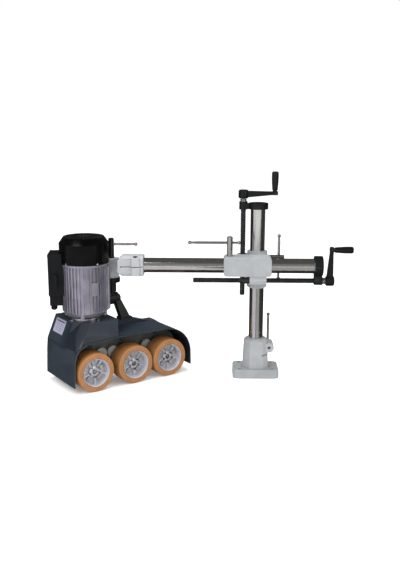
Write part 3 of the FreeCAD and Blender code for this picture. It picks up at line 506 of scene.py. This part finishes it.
def place_piece(name: str, mesh: bpy.types.Mesh, body: str, slot: str, finish: Finish | None,
                replaces: Iterable[str], smooth: float) -> bpy.types.Object:
    """Link a mesh as a piece, dress it and hang it on its body.

    Args:
        name: Name of the piece.
        mesh: Its mesh, in metres.
        body: CAD body that it rides on; empty where it hangs on none.
        slot: Material slot in the record.
        finish: Finish, or None for the slot's usual one.
        replaces: CAD nodes that the piece stands for.
        smooth: Largest angle that is shaded smooth, in degrees.

    Returns:
        The object.
    """
    mesh.shade_smooth()
    mesh.set_sharp_from_angle(angle=math.radians(smooth))
    mesh.materials.clear()
    mesh.materials.append(material_of(finish or SLOT_FINISH[slot]))
    piece = bpy.data.objects.new(name, mesh)
    bpy.context.scene.collection.objects.link(piece)
    if body:
        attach(piece, body)
    if replaces:
        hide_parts(*replaces)
    log.info("made %s on %s: %d faces", name, body, len(mesh.polygons))
    return piece


def dress(nodes: Iterable[str], finish: Finish | None = None) -> None:
    """Give CAD nodes their finish.

    Args:
        nodes: Names of the nodes.
        finish: Finish, or None for each slot's usual one.
    """
    for name in nodes:
        mesh = frame["nodes"][name].data
        mesh.materials.clear()
        mesh.materials.append(material_of(finish or SLOT_FINISH[NODE_SLOT[name]]))
        log.info("dressed %s", name)


def soften(node: str, piece: str, width: float, angle: float = 28.0, segments: int = 3,
           finish: Finish | None = None) -> bpy.types.Object:
    """Stand a copy with rounded corners in a CAD node's place.

    Args:
        node: CAD node to copy.
        piece: Name of the new piece.
        width: Width of the rounding in millimetres.
        angle: Smallest corner that is rounded, in degrees.
        segments: Steps of the rounding.
        finish: Finish, or None for the slot's usual one.

    Returns:
        The new piece.
    """
    source = frame["nodes"][node]
    bm = bmesh.new()
    bm.from_mesh(source.data)
    bmesh.ops.remove_doubles(bm, verts=bm.verts, dist=2e-6)
    bmesh.ops.dissolve_limit(bm, angle_limit=math.radians(0.4), verts=bm.verts, edges=bm.edges)
    mesh = bpy.data.meshes.new(piece)
    bm.to_mesh(mesh)
    bm.free()
    made = place_piece(piece, mesh, source["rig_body"], NODE_SLOT[node], finish, [node], 40.0)
    rounding = made.modifiers.new("rounding", "BEVEL")
    rounding.width = width * MM
    rounding.segments = segments
    rounding.limit_method = "ANGLE"
    rounding.angle_limit = math.radians(angle)
    rounding.harden_normals = True
    return made


# ---- sub-assemblies
class Assembly:
    """Something that makes its own pieces."""

    def make(self) -> None:
        """Build and dress every piece."""
        raise NotImplementedError


@dataclass
class Tube(Assembly):
    """Ground and chromed tube of the column or the overarm.

    Attributes:
        node: CAD node that it stands for.
        piece: Name of the piece.
        low: Start along its own axis.
        high: End along its own axis.
        place: Place of its axis, which is Z in its own frame.
        finish: Chrome with its grinding rings across this axis.
        radius: Outer radius.
        wall: Thickness.
        chamfer: Width of the chamfer at both ends.
    """

    node: str
    piece: str
    low: float
    high: float
    place: Matrix
    finish: Finish
    radius: float = 22.5
    wall: float = 4.0
    chamfer: float = 1.0

    def make(self) -> None:
        """Spin the wall's outline with both ends chamfered."""
        bore = self.radius - self.wall
        rim = self.radius - self.chamfer
        shape = Shaper()
        half = [(bore, self.low), (rim, self.low), (self.radius, self.low + self.chamfer)]
        shape.spun([*half, *((r, self.low + self.high - z) for r, z in reversed(half))], steps=160)
        shape.finish(self.piece, body_of(self.node), "bright_tube", self.finish, self.place, [self.node], 30)


@dataclass
class FeedScrew(Assembly):
    """Threaded screw with a bright thrust collar and a black journal.

    Attributes:
        node: CAD node that it stands for.
        low: Free end of the thread.
        shoulder: End of the thread at the cap.
        collar: Lower and upper face of the collar.
        end: Outer end of the journal.
        place: Place of its axis, which is Z in its own frame.
        pitch: Height of one turn of the thread.
        crest: Outer radius of the thread.
        root: Radius at the bottom of the groove.
        journal: Radius of the plain end.
        flange: Radius of the collar's two flanges.
        waist: Radius of the collar between them.
    """

    node: str
    low: float
    shoulder: float
    collar: tuple[float, float]
    end: float
    place: Matrix
    pitch: float = 5.0
    crest: float = 8.0
    root: float = 6.7
    journal: float = 6.0
    flange: float = 10.2
    waist: float = 8.6

    def make(self) -> None:
        """Cut the thread, then add the journal and its collar."""
        body = body_of(self.node)
        shape = Shaper()
        shape.thread(self.crest, self.root, self.pitch, self.low + 1.2, self.shoulder - 3.0)
        shape.bar(self.root - 0.8, self.low, self.low + 1.2, tip=self.root, steps=48)
        shape.bar(self.crest, self.shoulder - 3.0, self.shoulder, round_mm=0.5)
        shape.finish(self.node + "_thread", body, "dark_steel", None, self.place, [self.node])
        neck = Shaper()
        low, high = self.collar
        neck.bar(self.journal, self.shoulder, self.end, round_mm=0.6)
        neck.bar(self.flange, low, low + 2.6, round_mm=0.4)
        neck.bar(self.waist, low + 2.8, high - 2.6, round_mm=0.3)
        neck.bar(self.flange, high - 2.4, high, round_mm=0.4)
        neck.finish(self.node + "_neck", body, "stud_plate", None, self.place)


@dataclass
class Crank(Assembly):
    """Crank with a free-turning grip.

    Attributes:
        crank: CAD node of the crank.
        grip: CAD node of the grip.
        place: Place of the hub's lower face, whose axis is Z and whose arm is X.
        throw: Distance from the hub's axis to the grip's.
        seat: Height at which the grip starts.
        length: Length of the grip.
        radius: Largest radius of the grip.
    """

    crank: str
    grip: str
    place: Matrix
    throw: float = 96.0
    seat: float = 24.8
    length: float = 57.0
    radius: float = 10.4

    def make(self) -> None:
        """Round the casting, turn the grip and add the hub's screw and the pin's cap."""
        soften(self.crank, self.crank + "_casting", 1.6, 26)
        at = Matrix.Translation((self.throw, 0, self.seat))
        wide, top = self.radius, self.length
        grip = Shaper()
        grip.spun([(4.1, 0), (7.2, 0), (8.0, 0.8), (8.6, 4), (9.1, 12), (9.8, 24), (wide, 36),
                   (wide, top - 6), (wide - 0.5, top - 3), (wide - 1.8, top - 1), (wide - 4, top),
                   (4.6, top), (4.6, top - 2), (4.1, top - 2)], at, 72)
        grip.finish(self.grip + "_turned", body_of(self.grip), "grip_plastic", None, self.place,
                    [self.grip], 45)
        trim = Shaper()
        trim.bar(5.0, 25.8, 27.0, round_mm=0.4)
        trim.bar(4.0, top - 5.0, top - 1.2, at, round_mm=0.6)
        trim.finish(self.crank + "_screw_heads", body_of(self.crank), "stud_plate", None, self.place)


@dataclass
class Stand(Assembly):
    """Foot, pedestal, column and overarm with their caps.

    Attributes:
        rounding: CAD nodes that are rounded, each with its width.
        arm_y: The overarm's axis, across.
        arm_z: The overarm's axis, upwards.
        screw_x: The lifting screw's axis, beside the column.
        screw_z: The traverse screw's axis, under the overarm.
    """

    rounding: dict[str, float] = field(default_factory=lambda: {"base_casting": 2.0, "column_cap": 1.4,
                                                                "arm_cap": 1.4})
    arm_y: float = -55.0
    arm_z: float = 366.0
    screw_x: float = -45.5
    screw_z: float = 320.0

    def make(self) -> None:
        """Build the stand from the foot up."""
        for node, width in self.rounding.items():
            soften(node, node + "_rounded", width, 24)
        along_arm = Matrix.Translation((0, self.arm_y, self.arm_z)) @ Z_TO_X
        Tube("column_tube", "column_chromed", 10.0, 546.0, STILL, GROUND_CHROME_Z).make()
        Tube("arm_tube", "overarm_chromed", -420.0, 190.0, along_arm, GROUND_CHROME_X).make()
        upright = Matrix.Translation((self.screw_x, 0, 0))
        along_screw = Matrix.Translation((0, self.arm_y, self.screw_z)) @ Z_TO_X
        FeedScrew("lift_screw", 262.0, 532.2, (556.3, 563.5), 587.0, upright).make()
        FeedScrew("traverse_screw", -199.0, 171.7, (197.3, 204.5), 228.0, along_screw).make()
        Crank("lift_crank", "lift_grip", upright @ Matrix.Translation((0, 0, 566.0))).make()
        turned = along_screw @ Matrix.Translation((0, 0, 207.0)) @ Matrix.Rotation(math.pi, 4, "Z")
        Crank("traverse_crank", "traverse_grip", turned).make()
        dress(["base_stud", "base_bar"])


@dataclass
class Carriage(Assembly):
    """Cross block with its nuts and clamp bars.

    Attributes:
        rounding: Width of the casting's rounding.
    """

    rounding: float = 2.4

    def make(self) -> None:
        """Round the casting and dress what it holds."""
        soften("cross_block", "cross_block_casting", self.rounding, 22)
        dress(["lift_nut", "arm_stud", "arm_bar", "column_stud", "column_bar"])
        dress(["traverse_nut"], BLACK_OXIDE)


@dataclass
class Knuckle(Assembly):
    """Clamp on the arm's end, the swivel post and the tilting bracket.

    Attributes:
        rounding: CAD nodes that are rounded, each with its width.
    """

    rounding: dict[str, float] = field(default_factory=lambda: {"knuckle": 2.4, "swivel_bracket": 1.6,
                                                                "head_bracket": 1.8, "swivel_stud": 0.8})

    def make(self) -> None:
        """Round the castings and dress the bolts."""
        for node, width in self.rounding.items():
            soften(node, node + "_rounded", width, 24)
        dress(["knuckle_bolt", "swivel_bar", "tilt_bolt"])


@dataclass
class Hood(Assembly):
    """Folded sheet hood with its rating plate and the screws of the motor and its cowl.

    Attributes:
        rounding: Width of the rounding along the folds.
        bolt_angles: Where the deck's screws stand round the motor, in degrees.
        bolt_circle: Radius on which they stand.
        deck: Height of the flange's upper face.
        cowl_angles: Where the cowl's screws sit, in degrees.
        cowl_at: Radius and height of those screws.
        plate_half: Half the rating plate's width and height.
        plate_centre: Middle of the plate in the head's frame.
        lean: Slope of the hood's end panel, in degrees.
    """

    rounding: float = 1.5
    bolt_angles: tuple[float, ...] = (-160.0, -78.0, 10.0, 100.0)
    bolt_circle: float = 61.0
    deck: float = 205.0
    cowl_angles: tuple[float, ...] = (-162.0, 70.0, -85.0)
    cowl_at: tuple[float, float] = (75.1, 381.8)
    plate_half: tuple[float, float] = (33.0, 22.0)
    plate_centre: tuple[float, float, float] = (-168.675, 31.0, 178.0)
    lean: float = 23.295

    def make(self) -> None:
        """Round the sheet's folds, then fix the plate and the screws."""
        soften("hood", "hood_sheet", self.rounding, 15, 2)
        dress(["rating_plate"])
        self.plate_print()
        self.bolts()

    def plate_print(self) -> None:
        """Print a title bar, empty rules and one upright line on the plate, and rivet it."""
        lean = Matrix.Rotation(math.radians(self.lean), 4, "Y")
        place = HEAD @ Matrix.Translation(self.plate_centre) @ lean
        wide, high = self.plate_half
        ink = Shaper()
        out = (-0.95, -0.7)
        margin = wide - 5
        ink.slab(out, (-margin, margin), (high - 9, high - 4), place)
        for row in range(4):
            level = high - 15 - row * 6.4
            shorter = 9 * (row % 2)
            ink.slab(out, (-margin, margin - shorter), (level - 0.5, level + 0.5), place)
        ink.slab(out, (-wide + 22, -wide + 23), (-high + 5, high - 12), place)
        ink.finish("rating_plate_rules", "head", "label", PLATE_INK)
        rivets = Shaper()
        for y in (-wide + 2.6, wide - 2.6):
            for z in (-high + 2.6, high - 2.6):
                at = place @ Matrix.Translation((0, y, z)) @ Z_TO_MINUS_X
                rivets.bar(1.5, 0.6, 1.3, at, 16, round_mm=0.3)
        rivets.finish("rating_plate_rivets", "head", "stud_plate")

    def bolts(self) -> None:
        """Add hexagon screws with washers round the flange, and the cowl's pan-head screws."""
        shape = Shaper()
        for angle in self.bolt_angles:
            at = around(angle, self.bolt_circle, self.deck)
            shape.bar(6.2, 0.1, 1.2, at, 32, round_mm=0.3)
            shape.bar(5.0, 1.2, 5.0, at, 6, round_mm=0.5)
        cowl = Shaper()
        for angle in self.cowl_angles:
            at = around(angle, *self.cowl_at) @ Z_TO_X
            cowl.spun([(0, -2), (2.0, -2), (2.0, 0), (3.8, 0), (3.8, 1.0), (3.0, 2.0), (1.6, 2.4),
                       (1.6, 1.5), (0, 1.5)], at, 32, closed=False)
        shape.finish("deck_screws", "head", "stud_plate", None, MOTOR, ["motor_screws"])
        cowl.finish("cowl_screws", "head", "stud_plate", None, MOTOR)


@dataclass
class Motor(Assembly):
    """Upright motor with its cowl, switch box and cable gland.

    Attributes:
        box_angle: Which way the switch box points, in degrees.
        box_far: Distance from the motor's axis to the box's outer face.
        box_half: Half the box's width.
        lid_span: Lower and upper edge of its lid.
        lid_proud: How far the lid stands out past the box.
        gland_at: The cable gland's axis, outwards and across.
        tag_angle: Where the plain plate sits, in degrees.
        tag_span: Lower and upper edge of that plate.
    """

    box_angle: float = 150.0
    box_far: float = 106.0
    box_half: float = 38.0
    lid_span: tuple[float, float] = (281.4, 410.6)
    lid_proud: float = 0.6
    gland_at: tuple[float, float] = (94.0, 10.0)
    tag_angle: float = -92.0
    tag_span: tuple[float, float] = (286.0, 326.0)

    def make(self) -> None:
        """Round the castings and mouldings, then add the fittings."""
        soften("motor_body", "motor_ribbed_body", 0.7, 30, 2)
        soften("fan_cowl", "fan_cowl_moulding", 0.9, 20, 3)
        soften("switch_knob", "switch_knob_moulding", 1.2, 25)
        soften("switch_box", "switch_box_moulding", 2.0, 30, 3, SLATE_ABS)
        dress(["motor_flange", "stator", "rotor", "motor_bearings", "fan"])
        self.switch_box_trim()
        self.gland()
        self.tag()

    def box_frame(self) -> Matrix:
        """Frame with X out of the motor through the switch box."""
        return MOTOR @ around(self.box_angle)

    def switch_box_trim(self) -> None:
        """Add the lid with its seam, its four screws and the plate behind the knob."""
        lid = Shaper()
        side = self.box_half + self.lid_proud
        lid.slab((self.box_far - 9, self.box_far + self.lid_proud), (-side, side), self.lid_span,
                 self.box_frame(), 2.6)
        lid.slab((70.0, 97.0), (self.box_half - 1, self.box_half + 0.25), (316, 344), self.box_frame(), 0.4)
        lid.finish("switch_box_lid", "head", "box_black", None)
        screws = Shaper()
        for y in (-self.box_half + 7, self.box_half - 7):
            for z in (self.lid_span[0] + 7.6, self.lid_span[1] - 7.6):
                at = self.box_frame() @ Matrix.Translation((self.box_far, y, z)) @ Z_TO_X
                screws.spun([(0, -1), (3.2, -1), (3.2, 1.2), (2.4, 1.7), (1.2, 1.7), (1.2, 0.9), (0, 0.9)],
                            at, 24, closed=False)
        screws.finish("switch_box_screws", "head", "stud_plate")

    def gland(self) -> None:
        """Add the hexagon gland with its domed sealing nut."""
        at = self.box_frame() @ Matrix.Translation((*self.gland_at, 0))
        shape = Shaper()
        shape.bar(6.5, 246.0, 256.0, at, 40)
        shape.bar(10.0, 244.6, 249.6, at, 6, round_mm=0.5)
        shape.spun([(3.6, 234.2), (6.2, 234.2), (8.4, 236), (9.6, 239), (9.8, 244.4), (3.6, 244.4)], at, 48)
        shape.finish("cable_gland_nut", "head", "box_black", None, replaces=["cable_gland"])

    def tag(self) -> None:
        """Add a plain plate, bent round the ribs in narrow flats."""
        shape = Shaper()
        for step in range(-3, 4):
            shape.slab((70.8, 71.5), (-1.72, 1.72), self.tag_span,
                       MOTOR @ around(self.tag_angle + step * 2.7))
        shape.finish("motor_plain_tag", "head", "motor_alu")


@dataclass
class FeedWheel(Assembly):
    """Tyred wheel on its sprung arm.

    Attributes:
        side: Which of the three it is.
        centre_x: Place of the axle along the row.
        perch_x: Place of the spring along the row.
        perch_y: Place of the spring across the row.
        spring_span: Lower and upper end of the spring.
        face_y: Place of the tyre's outer face across the row.
        radius: Radius of the tyre.
        width: Width of the tyre.
        hub: Radius at which the tyre meets the hub.
        ribs: Number of ribs, pads and bolts on the hub.
    """

    side: str
    centre_x: float
    perch_x: float
    perch_y: float = -50.0
    spring_span: tuple[float, float] = (97.4, 143.7)
    face_y: float = -120.4
    radius: float = 60.0
    width: float = 60.0
    hub: float = 44.5
    ribs: int = 5

    def make(self) -> None:
        """Build the tyre and the hub, then the arm, its drive and its spring."""
        place = HEAD @ Matrix.Translation((self.centre_x, self.face_y, self.radius)) @ Z_TO_Y
        self.tyre(place)
        self.hub_casting(place)
        self.hub_bolts(place)
        soften("swing_arm_" + self.side, f"swing_arm_{self.side}_casting", 1.4, 25)
        dress([f"{part}_{self.side}" for part in ("chain", "drive_shaft")])
        self.spring()

    def spread(self, offset: float, radius: float = 0.0) -> list[Matrix]:
        """Find the places of one fitting per rib, all turned by an offset in degrees."""
        return [around(index * 360 / self.ribs + offset, radius) for index in range(self.ribs)]

    def spring(self) -> None:
        """Add the coil that stands between the hood and the arm, on no body."""
        at = HEAD @ Matrix.Translation((self.perch_x, self.perch_y, 0))
        low, high = self.spring_span
        shape = Shaper()
        shape.coil(radius=7.0, wire=1.2, low=low, high=high, turns=4)
        made = shape.finish("spring_coil_" + self.side, "", "gear_steel", None, at, ["spring_" + self.side])
        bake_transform(made)

    def tyre(self, place: Matrix) -> None:
        """Spin the poured tyre, with round shoulders and a shallow groove in each face."""
        rim, hub, width = self.radius, self.hub, self.width
        half = [(hub, 0.6), (hub + 0.8, 0.0), (hub + 6.8, 0.0), (hub + 7.2, 0.25), (hub + 7.6, 0.0),
                (rim - 4.2, 0.0), (rim - 2.6, 0.35), (rim - 1.2, 1.3), (rim - 0.35, 2.8), (rim, 4.6)]
        outline = half + [(rim, width / 2)] + [(x, width - z) for x, z in reversed(half)]
        shape = Shaper()
        shape.spun(outline, steps=160)
        shape.finish("tyre_poured_" + self.side, "wheel_" + self.side, "tyre_orange", None, place,
                     ["tyre_" + self.side], 50)

    def hub_casting(self, place: Matrix) -> None:
        """Spin the dished hub and add its ribs, its shaft collar and its bolt pads."""
        hub, width = self.hub, self.width
        shape = Shaper()
        shape.spun([(hub, 1.0), (hub, width - 1.0), (hub - 1, width - 0.4), (hub - 3.6, width - 0.4),
                    (hub - 4.4, width - 2), (hub - 7.5, 31.0), (17.0, 31.0), (17.0, width - 3.0),
                    (7.0, width - 3.0), (7.0, 76.0), (0, 76.0), (0, 15.2), (5.5, 15.2), (6.5, 16.0),
                    (12.0, 16.0), (15.5, 18.0), (17.5, 24.0), (hub - 10, 24.6), (hub - 7.0, 22.0),
                    (hub - 4.6, 4.0), (hub - 3.4, 1.2), (hub - 1.2, 0.5)], closed=False, steps=128)
        for turn in self.spread(18):
            shape.slab((13.0, hub - 5.0), (-1.7, 1.7), (12.5, 26.0), turn, 0.8)
        shape.spun([(11.0, 66.9), (11.0, 71.9), (7.0, 71.9), (7.0, 66.9)], steps=48)
        shape.finish("hub_casting_" + self.side, "wheel_" + self.side, "hub_alu", None, place,
                     ["wheel_hub_" + self.side], 32)
        pads = Shaper()
        for turn in self.spread(54):
            pads.slab((20.0, 33.5), (-6.8, 6.8), (17.5, 25.0), turn, 1.4)
        pads.finish("hub_pads_" + self.side, "wheel_" + self.side, "hub_alu", CAST_ALUMINIUM, place)

    def hub_bolts(self, place: Matrix) -> None:
        """Add a hexagon bolt at the foot of each rib, and the axle's washer and nut."""
        shape = Shaper()
        for turn in self.spread(18, 15.8):
            shape.bar(3.4, 10.6, 16.5, turn, 6, round_mm=0.4)
        shape.bar(7.4, 13.8, 15.4, steps=40, round_mm=0.3)
        shape.bar(5.6, 9.6, 13.8, steps=6, round_mm=0.5)
        shape.bar(3.2, 8.4, 9.8, steps=24, round_mm=0.4)
        shape.finish("hub_bolts_" + self.side, "wheel_" + self.side, "stud_plate", None, place)


@dataclass
class GearTrain(Assembly):
    """Gear case and the cross shaft under the motor."""

    def make(self) -> None:
        """Round the case and dress the shaft."""
        soften("gear_case", "gear_case_casting", 0.8, 30, 2, DARK_OLIVE_CASE)
        dress(["cross_shaft"])


# ---- studio
@dataclass
class Studio(Assembly):
    """White floor, soft lights, light and dark cards for the chrome, and the camera.

    Attributes:
        camera_at: Place of the camera in metres.
        yaw: Turn of the camera to its right, in radians.
        pitch: How far it looks down, in radians.
        roll: How far it leans, in radians.
        lens: Its focal length in millimetres.
        sensor: Width of its sensor in millimetres.
        reach: Half the floor's width in metres.
    """

    camera_at: tuple[float, float, float] = (-0.1391, -2.3089, 0.8084)
    yaw: float = -0.017
    pitch: float = 0.220
    roll: float = 0.003
    lens: float = 47.368421
    sensor: float = 36.0
    reach: float = 9.0

    def make(self) -> None:
        """Set the whole studio up."""
        bpy.context.scene.view_settings.view_transform = "Standard"
        self.camera()
        self.sky()
        self.floor()
        self.lights()
        self.cards()

    def camera(self) -> None:
        """Set the camera up above the top of the column and a little to its left."""
        ahead = Vector((math.sin(self.yaw) * math.cos(self.pitch),
                        math.cos(self.yaw) * math.cos(self.pitch), -math.sin(self.pitch)))
        level = Vector((math.cos(self.yaw), -math.sin(self.yaw), 0.0))
        up = level.cross(ahead)
        right = math.cos(self.roll) * level + math.sin(self.roll) * up
        up = -math.sin(self.roll) * level + math.cos(self.roll) * up
        data = bpy.data.cameras.new("camera")
        data.lens = self.lens
        data.sensor_width = self.sensor
        data.clip_start, data.clip_end = 0.05, 60.0
        camera = bpy.data.objects.new("camera", data)
        turn = Matrix((right, up, -ahead)).transposed().to_4x4()
        camera.matrix_world = Matrix.Translation(self.camera_at) @ turn
        bpy.context.scene.collection.objects.link(camera)
        bpy.context.scene.camera = camera

    def sky(self) -> None:
        """White surround; shiny pieces reflect a grey one instead, which is darker overhead."""
        world = bpy.data.worlds.new("studio")
        bpy.context.scene.world = world
        world.use_nodes = True
        tree = world.node_tree
        tree.nodes.clear()
        way = add_node(tree, "ShaderNodeTexCoord").outputs["Generated"]
        height = add_node(tree, "ShaderNodeSeparateXYZ", {0: way}).outputs["Z"]
        shade = remap(tree, height, (0.35, 0.75), (0.3, 0.1))
        seen = add_node(tree, "ShaderNodeBackground", {"Color": (1.0, 1.0, 1.0, 1.0), "Strength": 1.0})
        shiny = add_node(tree, "ShaderNodeBackground", {"Color": (1.0, 0.99, 0.97, 1.0), "Strength": shade})
        path = add_node(tree, "ShaderNodeLightPath")
        mixed = add_node(tree, "ShaderNodeMixShader", {0: path.outputs["Is Glossy Ray"], 1: seen.outputs[0],
                                                       2: shiny.outputs[0]})
        add_node(tree, "ShaderNodeOutputWorld", {"Surface": mixed.outputs[0]})

    def sheet(self, name: str, corners: Sequence[Sequence[float]], tone: str,
              glow: float = 0.0) -> bpy.types.Object:
        """Add one flat sheet of the studio.

        Args:
            name: Its name.
            corners: Its corners in metres.
            tone: Its colour, sRGB hex.
            glow: Light that it gives off itself.

        Returns:
            The sheet.
        """
        bm = bmesh.new()
        bm.faces.new([bm.verts.new(corner) for corner in corners])
        mesh = bpy.data.meshes.new(name)
        bm.to_mesh(mesh)
        bm.free()
        material = bpy.data.materials.new(name)
        material.use_nodes = True
        tree = material.node_tree
        tree.nodes.clear()
        shader = add_node(tree, "ShaderNodeBsdfPrincipled",
                          {"Base Color": linear(tone), "Roughness": 0.9, "Specular IOR Level": 0.0,
                           "Emission Color": linear(tone), "Emission Strength": glow})
        add_node(tree, "ShaderNodeOutputMaterial", {"Surface": shader.outputs[0]})
        mesh.materials.append(material)
        made = bpy.data.objects.new(name, mesh)
        bpy.context.scene.collection.objects.link(made)
        return made

    def floor(self) -> None:
        """Lay a wide white floor just under the feet."""
        corners = ((-1, -1), (1, -1), (1, 1), (-1, 1))
        self.sheet("floor", [(x * self.reach, y * self.reach, -0.0006) for x, y in corners], "#f9f9f9", 0.15)

    def flat(self, height: float, *points: Sequence[float]) -> list[Sequence[float]]:
        """List the corners of a card that lies at a height."""
        return [(x, y, height) for x, y in points]

    def upright(self, top: float, start: Sequence[float], end: Sequence[float]) -> list[Sequence[float]]:
        """List the corners of a card that stands on the floor."""
        return [(*start, 0.0), (*end, 0.0), (*end, top), (*start, top)]

    def cards(self) -> None:
        """Place cards that only reflections see; they draw the chrome's light and dark bands."""
        dark, dusk, soft, pale = "#30332e", "#3c403b", "#8f9092", "#b4b1b9"
        cards = {
            "card_floor": (dark, self.flat(0.003, (-1.3, -0.25), (0.7, -0.25), (0.7, 1.0), (-1.3, 1.0))),
            "card_left": (dark, self.upright(1.2, (-1.0, -0.2), (-1.0, 1.0))),
            "card_right": (dark, self.upright(1.2, (0.5, -0.45), (0.5, 1.0))),
            "card_back": (dark, self.upright(1.3, (-1.0, 1.0), (0.5, 1.0))),
            "card_pale": (pale, self.flat(0.002, (-0.05, -0.26), (-0.43, -2.6), (-3.0, -2.6), (-3.0, -0.26))),
            "card_line": (dark, self.flat(0.004, (-0.05, -0.26), (-0.02, -0.26), (-0.16, -2.6),
                                          (-0.43, -2.6))),
            "card_soft": (soft, self.flat(0.002, (-0.02, -0.26), (0.25, -0.26), (2.5, -2.6), (-0.16, -2.6))),
            "card_dusk": (dusk, self.flat(0.003, (0.25, -0.26), (2.8, -0.26), (2.8, -2.6), (2.5, -2.6))),
        }
        for name, (tone, corners) in cards.items():
            card = self.sheet(name, corners, tone)
            card.visible_camera = False
            card.visible_diffuse = False
            card.visible_shadow = False
            card.visible_transmission = False

    def lights(self) -> None:
        """Hang soft boxes high left, right, and overhead; shiny pieces don't reflect the last one."""
        boxes = {
            "key": ((-1.5, -1.9, 2.1), (-0.25, -0.05, 0.25), (1.5, 1.5), 29.0),
            "fill": ((1.7, -1.5, 1.3), (-0.1, 0.0, 0.25), (1.1, 1.5), 14.0),
            "overhead": ((-0.15, 0.03, 1.9), (-0.15, 0.03, 0.0), (1.5, 0.95), 20.0),
        }
        for name, (at, towards, size, power) in boxes.items():
            data = bpy.data.lights.new(name, "AREA")
            data.shape = "RECTANGLE"
            data.size, data.size_y = size
            data.energy = power
            lamp = bpy.data.objects.new(name, data)
            turn = (Vector(towards) - Vector(at)).to_track_quat("-Z", "Y")
            lamp.matrix_world = Matrix.Translation(at) @ turn.to_matrix().to_4x4()
            lamp.visible_glossy = name != "overhead"
            bpy.context.scene.collection.objects.link(lamp)


def main() -> None:
    """Build the feeder from the studio to the wheels."""
    logging.basicConfig(level=logging.INFO, format="%(message)s")
    wheels = [FeedWheel("left", -122.8, -110.0), FeedWheel("mid", 13.8, 5.0),
              FeedWheel("right", 137.4, 126.0)]
    for assembly in (Studio(), Stand(), Carriage(), Knuckle(), Hood(), Motor(), GearTrain(), *wheels):
        log.info("assembly %s", type(assembly).__name__)
        assembly.make()
    bpy.context.view_layer.update()


if __name__ == "__main__":
    main()
